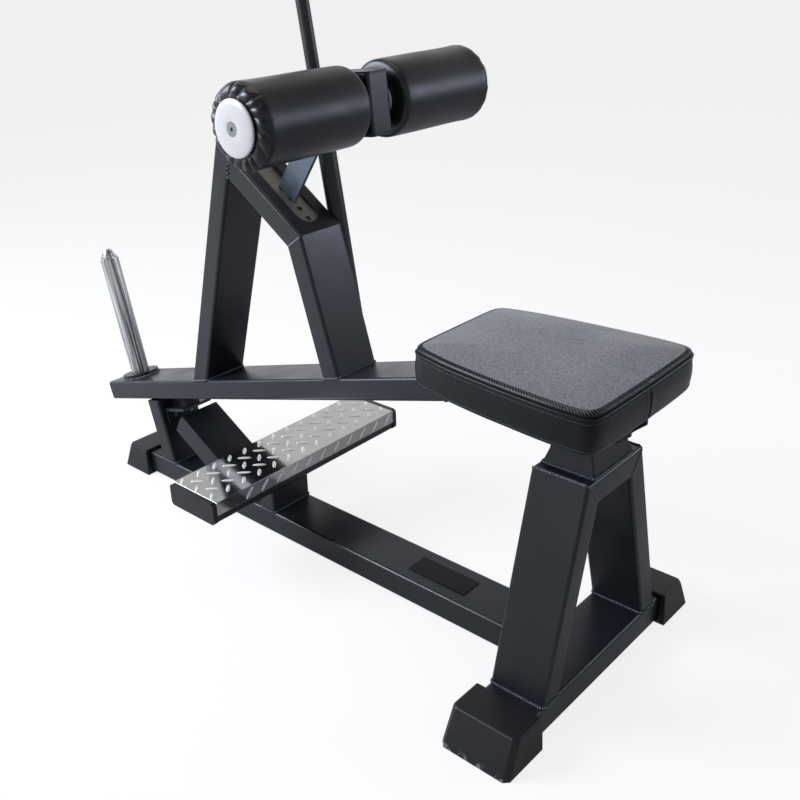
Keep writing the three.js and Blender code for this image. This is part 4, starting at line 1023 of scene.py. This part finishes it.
@dataclass
class KneeRoller:
    """One padded roller: a tight sleeve, gathered in pleats around its outer end."""

    side: int
    finishes: Finishes
    around: int = 288
    pleats: int = 17
    pleat_deep: float = 5.4 * MM
    # How far a pleat leans over from the rim to the disc, and how blunt its crest is.
    pleat_lean: float = 0.14
    pleat_blunt: float = 0.6
    bulge: float = 3.4 * MM
    core_gap: float = 0.3 * MM
    rim_wave: float = 0.7 * MM
    sag: float = 0.25 * MM
    crisp_angle: float = math.radians(60)

    # The sleeve from its inner end to its rim: distance from the inner end and radius, in millimetres.
    SLEEVE = (
        (0, 36), (0.1, 46), (0.4, 56), (1.2, 63), (2.6, 67.5), (4.8, 70.5), (7.5, 72.2), (11, 73),
        (16, 73.3), (35, 73.6), (60, 73.9), (90, 74.1), (120, 74.1), (150, 74), (180, 74), (200, 74.1),
        (215, 74.3), (227, 74.7), (236, 75.1), (242, 75.3), (246, 75), (249, 73.8),
    )
    # How far the pleats reach back along the sleeve, and where its sag sets in, in millimetres.
    PLEAT_REACH = 9
    SAG_FROM = 20
    # The gathered end, from the rim to the disc, as shares of its run, with the depth of its pleats.
    GATHER = (
        (0.04, 0.22), (0.1, 0.45), (0.18, 0.65), (0.28, 0.82), (0.4, 0.94), (0.52, 1), (0.64, 1),
        (0.76, 0.9), (0.87, 0.7), (0.95, 0.45), (1, 0.2),
    )
    GATHER_FROM = (249, 73.8)
    GATHER_TO = (260.7, 53)
    # How far the cover is tucked in under the disc, in millimetres.
    TUCK = 4
    # How the pleats wander around the end and differ in size: amounts and waves a turn.
    WANDER = ((0.10, 3), (0.05, 7))
    DIFFER = ((0.22, 5), (0.12, 9))

    def build(self) -> None:
        """Builds the roller's cover and gives it to its body."""
        name = "right" if self.side > 0 else "left"
        low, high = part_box(f"roller_pad_{name}")
        core_low, core_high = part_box(f"roller_core_{name}")
        axis = Vector((0, (low.y + high.y) / 2, (low.z + high.z) / 2))
        start = min(abs(low.x), abs(high.x))
        bore = (core_high.z - core_low.z) / 2 + self.core_gap
        turn = np.arange(self.around) / self.around * FULL_TURN
        uneven = turn + self.waves(turn, self.WANDER, 2)
        rings = [self.circle(start, np.full(self.around, bore), turn, axis)]
        for along, radius in self.SLEEVE:
            near_rim = math.exp(-((self.GATHER_FROM[0] - along) / self.PLEAT_REACH) ** 2)
            wave = self.rim_wave * near_rim * self.lobes(uneven, 0)
            soft = self.sag * np.sin(2 * turn + 1) * (along > self.SAG_FROM)
            rings.append(self.circle(start + along * MM, radius * MM + wave + soft, turn, axis))
        run = np.array(self.GATHER_TO) - np.array(self.GATHER_FROM)
        out = np.array([-run[1], run[0]]) / np.linalg.norm(run)
        for share, depth in self.GATHER:
            at = np.array(self.GATHER_FROM) + run * share
            pleat = self.pleat_deep * depth * self.lobes(uneven, share)
            lift = pleat + self.bulge * math.sin(math.pi * share)
            x = start + at[0] * MM + lift * out[0]
            rings.append(self.circle(x, at[1] * MM + lift * out[1], turn, axis))
        flat = start + self.GATHER_TO[0] * MM
        for radius in ((self.GATHER_TO[1] - self.TUCK) * MM, bore):
            rings.append(self.circle(flat, np.full(self.around, radius), turn, axis))
        faces = ring_faces(len(rings), self.around)
        last = (len(rings) - 1) * self.around
        for step in range(self.around):
            after = (step + 1) % self.around
            faces.append((last + step, last + after, after, step))
        if self.side < 0:
            faces = [tuple(reversed(face)) for face in faces]
        piece = mesh_object(f"roller_cover_{name}", np.concatenate(rings), faces)
        piece.data.materials.append(self.finishes.roller_vinyl.material())
        piece.data.set_sharp_from_angle(angle=self.crisp_angle)
        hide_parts(f"roller_pad_{name}")
        hand_over(piece, Body.ROLLER_RIGHT if self.side > 0 else Body.ROLLER_LEFT)

    def waves(self, turn: np.ndarray, parts: Sequence[tuple[float, int]], phase: float) -> np.ndarray:
        """Returns two waves around the end, the first of which differs between the rollers."""
        (broad, few), (fine, many) = parts
        return broad * np.sin(few * turn + self.side) + fine * np.sin(many * turn + phase)

    def lobes(self, turn: np.ndarray, share: float) -> np.ndarray:
        """Returns the pleats' height around the end: round lobes with narrow creases, folded over."""
        wave = np.abs(np.sin((turn + self.pleat_lean * share) * self.pleats / 2))
        return (wave ** self.pleat_blunt - self.pleat_blunt) * (1 + self.waves(turn, self.DIFFER, 0))

    def circle(self, x: Any, radius: np.ndarray, turn: np.ndarray, axis: Vector) -> np.ndarray:
        """Returns one ring of points around the roller's axis."""
        across = np.broadcast_to(x, turn.shape) * self.side
        return np.stack([across, axis.y + radius * np.cos(turn), axis.z + radius * np.sin(turn)], axis=1)


@dataclass
class TreadPattern:
    """Raised lozenges on the foot rest's tread plate and on its folded front edge."""

    trees: TreeMaker
    finishes: Finishes
    pitch_x: float = 46 * MM
    pitch_y: float = 52 * MM
    size: tuple[float, float, float] = (33 * MM, 9 * MM, 3.6 * MM)
    turn: float = math.radians(47)
    columns: int = 13
    rows: int = 3
    shift_y: float = 7 * MM
    fold_drop: float = 17 * MM
    fold_shift_x: float = 35 * MM
    fold_columns: int = 11

    def build(self) -> None:
        """Builds the lozenges of the top and those of the fold."""
        low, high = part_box("tread_plate")
        top = (0, (low.y + high.y) / 2 + self.shift_y, high.z)
        self.field("tread_lozenges", self.columns, self.rows, top, (0, 0, 0))
        fold = (self.fold_shift_x, low.y, high.z - self.fold_drop)
        self.field("fold_lozenges", self.fold_columns, 1, fold, (math.pi / 2, 0, 0))

    def field(
        self, name: str, columns: int, rows: int, move: tuple[float, ...], tilt: tuple[float, ...],
    ) -> None:
        """Sets out one field of lozenges."""
        piece = grown(name, self.trees.lozenges, {
            "Pitch X": self.pitch_x, "Pitch Y": self.pitch_y, "Columns": columns, "Rows": rows,
            "Size": self.size, "Turn": self.turn, "Move": move, "Tilt": tilt,
            "Finish": self.finishes.rubbed_steel.material(),
        })
        hand_over(piece, Body.BASE)


@dataclass
class Welds:
    """Weld beads around the welded joints, and seams at the mitres, the tower's with a painted highlight.
    """

    nodes: dict[str, Object]
    trees: TreeMaker
    finishes: Finishes
    rim_thick: float = 0.8 * MM
    corner_inset: float = 5 * MM
    seam_radius: float = 1.3 * MM

    RIPPLES = Beads(4.6 * MM, 6.6 * MM, 7.4 * MM)
    FINE_RIPPLES = Beads(2.2 * MM, 3 * MM, 3 * MM)
    CORNER_RIPPLES = Beads(4.6 * MM, 9 * MM, 7.4 * MM)
    TACKS = Beads(11 * MM, 8 * MM, 7.4 * MM)
    LEVER_SLOPE = math.radians(16.22)
    FAR_LEG_LEAN = math.radians(33.2)
    TOWER_MITRE = math.radians(70.5)
    SEAT_MITRE = math.radians(37.5)

    def build(self) -> None:
        """Builds the beads of the base and of the lever, and the mitre seams."""
        down, up, near, right = (Vector(way) for way in ((0, 0, -1), (0, 0, 1), (0, -1, 0), (1, 0, 0)))
        lever_down = self.turned(-math.pi / 2)
        self.beads("base_welds", Body.BASE, self.RIPPLES, self.rims(
            ("seat_neck", down), ("seat_neck", up), ("seat_leg_right", down), ("seat_leg_left", down),
            ("foot_rest_post", down), ("foot_rest_post", up), ("rest_post", down), ("stop_tube", down),
            ("spine", near),
        ))
        self.beads("lever_welds", Body.LEVER, self.RIPPLES, self.rims(
            ("tower_leg_near", lever_down), ("tower_leg_far", lever_down), ("horn_flange", lever_down),
        ))
        lever_end = self.rims(("lever_tube", self.turned(math.pi)))
        self.beads("lever_end_weld", Body.LEVER, self.FINE_RIPPLES, lever_end)
        head_end = self.rims(("tower_head", self.turned(self.FAR_LEG_LEAN)))
        self.beads("head_weld", Body.LEVER, self.TACKS, head_end)
        mitre = Vector((math.cos(self.SEAT_MITRE), 0, -math.sin(self.SEAT_MITRE)))
        mitres = self.rims(("seat_top_bar", mitre), ("seat_top_bar", Vector((-mitre.x, 0, mitre.z))))
        # The seat's mitre seams share the weld beads' lighter colour, a painted highlight.
        self.seams("seat_seams", Body.BASE, self.finishes.highlit_weld_coat, mitres)
        corners = [self.side(rim, up, self.corner_inset) for rim in mitres]
        self.beads("corner_welds", Body.BASE, self.CORNER_RIPPLES, corners, closed=False)
        leg_end, = self.rims(("tower_leg_near", self.turned(self.TOWER_MITRE)))
        sides = [self.side(leg_end, way) for way in (-right, right)]
        # The tower seam's pale finish is a painted highlight.
        self.seams("tower_seam", Body.LEVER, self.finishes.highlit_tower_seam, sides, closed=False)

    def turned(self, angle: float) -> Vector:
        """Returns a direction in the lever's upright plane, turned up from the lever's own length."""
        true = angle - self.LEVER_SLOPE
        return Vector((0, math.cos(true), math.sin(true)))

    def rims(self, *ends: tuple[str, Vector]) -> list[np.ndarray]:
        """Returns the closed outlines of solids' ends.

        Args:
            ends: For each end, the solid's name and the direction that the end faces.

        Returns:
            The points of each outline in order.
        """
        found = []
        for node, toward in ends:
            places = places_of(self.nodes[node].data).astype(float)
            reach = places @ np.array(toward)
            end = np.unique(np.round(places[reach > reach.max() - self.rim_thick], 6), axis=0)
            across = toward.orthogonal().normalized()
            up = toward.cross(across)
            flat = np.stack([end @ np.array(across), end @ np.array(up)], axis=1)
            found.append(end[outer_hull(flat)])
        return found

    def side(self, rim: np.ndarray, toward: Vector, inset: float = 0) -> np.ndarray:
        """Returns the two ends of the straight run of an outline that faces a direction.

        Args:
            rim: The outline.
            toward: The direction that the run faces.
            inset: How far the run's ends are drawn in.

        Returns:
            The ends.
        """
        reach = rim @ np.array(toward)
        run = rim[reach > reach.max() - self.rim_thick]
        axis = int(np.argmax(np.ptp(run, axis=0)))
        first, last = run[np.argmin(run[:, axis])], run[np.argmax(run[:, axis])]
        share = inset / np.linalg.norm(last - first)
        return np.stack([first + (last - first) * share, last + (first - last) * share])

    def beads(
        self, name: str, body: Body, size: Beads, rims: list[np.ndarray], closed: bool = True,
    ) -> None:
        """Builds ripples along the outlines of welded ends."""
        # The beads' lighter colour is a painted highlight.
        inputs = size.inputs(self.finishes.highlit_weld_coat)
        hand_over(grown_along(name, self.trees.beads, inputs, rims, closed), body)

    def seams(
        self, name: str, body: Body, finish: Finish, rims: list[np.ndarray], closed: bool = True,
    ) -> None:
        """Builds thin seams along the outlines of mitred ends."""
        inputs = {"Radius": self.seam_radius, "Finish": finish.material()}
        hand_over(grown_along(name, self.trees.tubes, inputs, rims, closed), body)


def outer_hull(flat: np.ndarray) -> list[int]:
    """Returns the numbers of the points on the convex outline of flat points, in order."""
    order = sorted(range(len(flat)), key=lambda n: (flat[n][0], flat[n][1]))

    def half(numbers: Sequence[int]) -> list[int]:
        """Returns one half of the outline."""
        kept: list[int] = []
        for n in numbers:
            while len(kept) > 1:
                a, b = flat[kept[-1]] - flat[kept[-2]], flat[n] - flat[kept[-2]]
                if a[0] * b[1] - a[1] * b[0] > 0:
                    break
                kept.pop()
            kept.append(n)
        return kept[:-1]

    return half(order) + half(order[::-1])


@dataclass(frozen=True)
class Lamp:
    """A soft rectangular lamp, aimed at a point. Its power is in watts."""

    name: str
    place: tuple[float, float, float]
    size: tuple[float, float]
    power: float
    colour: str
    aim: tuple[float, float, float] = (0, 0, 0.5)

    def build(self) -> None:
        """Adds the lamp to the scene."""
        data = bpy.data.lights.new(self.name, "AREA")
        data.shape = "RECTANGLE"
        data.size, data.size_y = self.size
        data.energy = self.power
        data.color = linear(self.colour)[:3]
        lamp = added(self.name, data)
        lamp.location = self.place
        lamp.rotation_mode = "QUATERNION"
        lamp.rotation_quaternion = (Vector(self.aim) - Vector(self.place)).to_track_quat("-Z", "Y")


@dataclass
class Studio:
    """The pale floor, the soft light and the camera at the photograph's place."""

    image: int = 800
    focal_pixels: float = 996.6
    camera_place: Vector = field(default_factory=lambda: Vector((-1.39953, -1.495121, 1.36475)))
    yaw: float = math.radians(48.13)
    pitch: float = math.radians(-25.65)
    roll: float = math.radians(-1.59)
    floor_half: float = 30.0
    floor_drop: float = 0.2 * MM
    # The share of plain white in what the camera sees of the floor.
    floor_white: float = 0.82
    # The floor's level in mirrors beside the machine and far behind it, and where these places are.
    floor_in_mirrors: tuple[float, float] = (0.2, 1.0)
    floor_far: tuple[float, float] = (0.9, 2.6)
    # The walls in mirrors: the way to the brightest one, and their levels away from it and towards it.
    wall_way: tuple[float, float, float] = (0.35, 0.8, 0.0)
    wall_reach: tuple[float, float] = (-0.5, 0.7)
    wall_levels: tuple[float, float] = (0.6, 1.2)
    # The dark ceiling in mirrors: between which heights of view it sets in, and its share of the walls.
    ceiling_reach: tuple[float, float] = (0.4, 0.8)
    ceiling_share: float = 0.16
    # The room's level on dull faces, and to the camera.
    room_level: float = 0.4
    seen_level: float = 0.88

    LAMPS = (
        Lamp("window_left", (-2.0, 2.0, 2.2), (2.0, 1.6), 180, "#e0e8f6"),
        Lamp("window_right", (1.9, -2.0, 1.45), (1.1, 0.8), 15, "#d6e2fc", aim=(0, -0.2, 1.0)),
        Lamp("ceiling", (0.2, 0.3, 3.4), (2.0, 2.0), 20, "#fff4e8"),
    )

    def build(self) -> None:
        """Builds everything around the machine."""
        self.floor()
        self.surroundings()
        for lamp in self.LAMPS:
            lamp.build()
        self.camera()
        bpy.context.scene.view_settings.view_transform = "Standard"

    def floor(self) -> None:
        """Builds the floor, near white to the camera, which keeps the machine's shadow."""
        half = self.floor_half
        corners = [(-half, -half), (half, -half), (half, half), (-half, half)]
        piece = mesh_object("floor", [(x, y, -self.floor_drop) for x, y in corners], [(0, 1, 2, 3)])
        material = bpy.data.materials.new("pale_floor")
        tree = cleared_tree(material)
        dull = add_node(tree, "ShaderNodeBsdfDiffuse", inputs={"Color": linear("#b4b4b6")})
        seen = add_node(tree, "ShaderNodeBsdfDiffuse", inputs={"Color": linear("#f6f6f7")})
        glow = add_node(tree, "ShaderNodeEmission", inputs={"Color": linear("#ffffff"), "Strength": 1.0})
        white = add_node(tree, "ShaderNodeMixShader", inputs={0: self.floor_white, 1: seen, 2: glow})
        rays = add_node(tree, "ShaderNodeLightPath")
        place = add_node(tree, "ShaderNodeTexCoord").outputs["Object"]
        behind = add_node(tree, "ShaderNodeSeparateXYZ", inputs={"Vector": place}).outputs["Y"]
        bright = add_node(tree, "ShaderNodeMapRange", inputs={
            "Value": behind, "From Min": self.floor_far[0], "From Max": self.floor_far[1],
            "To Min": self.floor_in_mirrors[0], "To Max": self.floor_in_mirrors[1],
        })
        mirrored = add_node(tree, "ShaderNodeMath", {"operation": "MULTIPLY"}, {
            0: rays.outputs["Is Glossy Ray"], 1: bright,
        })
        shown = add_node(tree, "ShaderNodeMath", {"operation": "MAXIMUM"}, {
            0: rays.outputs["Is Camera Ray"], 1: mirrored,
        })
        mixed = add_node(tree, "ShaderNodeMixShader", inputs={0: shown, 1: dull, 2: white})
        add_node(tree, "ShaderNodeOutputMaterial", inputs={"Surface": mixed})
        piece.data.materials.append(material)

    def surroundings(self) -> None:
        """Sets the world: white to the camera, with bright walls under a dark ceiling in reflections."""
        world = bpy.data.worlds.new("studio")
        bpy.context.scene.world = world
        tree = cleared_tree(world)
        rays = add_node(tree, "ShaderNodeLightPath")
        way = add_node(tree, "ShaderNodeTexCoord").outputs["Generated"]
        behind = add_node(tree, "ShaderNodeVectorMath", {"operation": "DOT_PRODUCT"}, {
            0: way, 1: self.wall_way,
        })
        wall = add_node(tree, "ShaderNodeMapRange", inputs={
            "Value": behind.outputs["Value"],
            "From Min": self.wall_reach[0], "From Max": self.wall_reach[1],
            "To Min": self.wall_levels[0], "To Max": self.wall_levels[1],
        })
        height = add_node(tree, "ShaderNodeSeparateXYZ", inputs={"Vector": way}).outputs["Z"]
        low = add_node(tree, "ShaderNodeMapRange", {"interpolation_type": "SMOOTHSTEP"}, {
            "Value": height, "From Min": self.ceiling_reach[0], "From Max": self.ceiling_reach[1],
            "To Min": 1.0, "To Max": self.ceiling_share,
        })
        bright = add_node(tree, "ShaderNodeMath", {"operation": "MULTIPLY"}, {0: wall, 1: low})
        levels = {"#dfe3ea": self.room_level, "#f0f1f4": bright, "#ffffff": self.seen_level}
        dull, mirrored, white = (
            add_node(tree, "ShaderNodeBackground", inputs={"Color": linear(colour), "Strength": level})
            for colour, level in levels.items()
        )
        glossy = add_node(tree, "ShaderNodeMixShader", inputs={
            0: rays.outputs["Is Glossy Ray"], 1: dull, 2: mirrored,
        })
        seen = add_node(tree, "ShaderNodeMixShader", inputs={
            0: rays.outputs["Is Camera Ray"], 1: glossy, 2: white,
        })
        add_node(tree, "ShaderNodeOutputWorld", inputs={"Surface": seen})

    def camera(self) -> None:
        """Adds the camera with the place, angles and lens that fit the photograph."""
        data = bpy.data.cameras.new("camera")
        data.sensor_fit = "HORIZONTAL"
        data.sensor_width = 36.0
        data.lens = self.focal_pixels / self.image * data.sensor_width
        data.clip_end = 100.0
        camera = added("camera", data)
        flat = math.cos(self.pitch)
        ahead = Vector((math.sin(self.yaw) * flat, math.cos(self.yaw) * flat, math.sin(self.pitch)))
        level = Vector((math.cos(self.yaw), -math.sin(self.yaw), 0))
        lift = level.cross(ahead)
        right = level * math.cos(self.roll) + lift * math.sin(self.roll)
        up = -level * math.sin(self.roll) + lift * math.cos(self.roll)
        turn = Matrix((right, up, -ahead)).transposed()
        camera.matrix_world = Matrix.Translation(self.camera_place) @ turn.to_4x4()
        bpy.context.scene.camera = camera


def main() -> None:
    """Builds every piece in order."""
    logging.basicConfig(level=logging.INFO, format="%(name)s: %(message)s")
    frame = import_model()
    Studio().build()
    trees = TreeMaker()
    finishes = Finishes()
    SolidDressing(frame["nodes"], frame["record"], trees, finishes).build()
    SeatCushion(trees, finishes).build()
    for side in (1, -1):
        KneeRoller(side, finishes).build()
    TreadPattern(trees, finishes).build()
    Welds(frame["nodes"], trees, finishes).build()


if __name__ == "__main__":
    main()
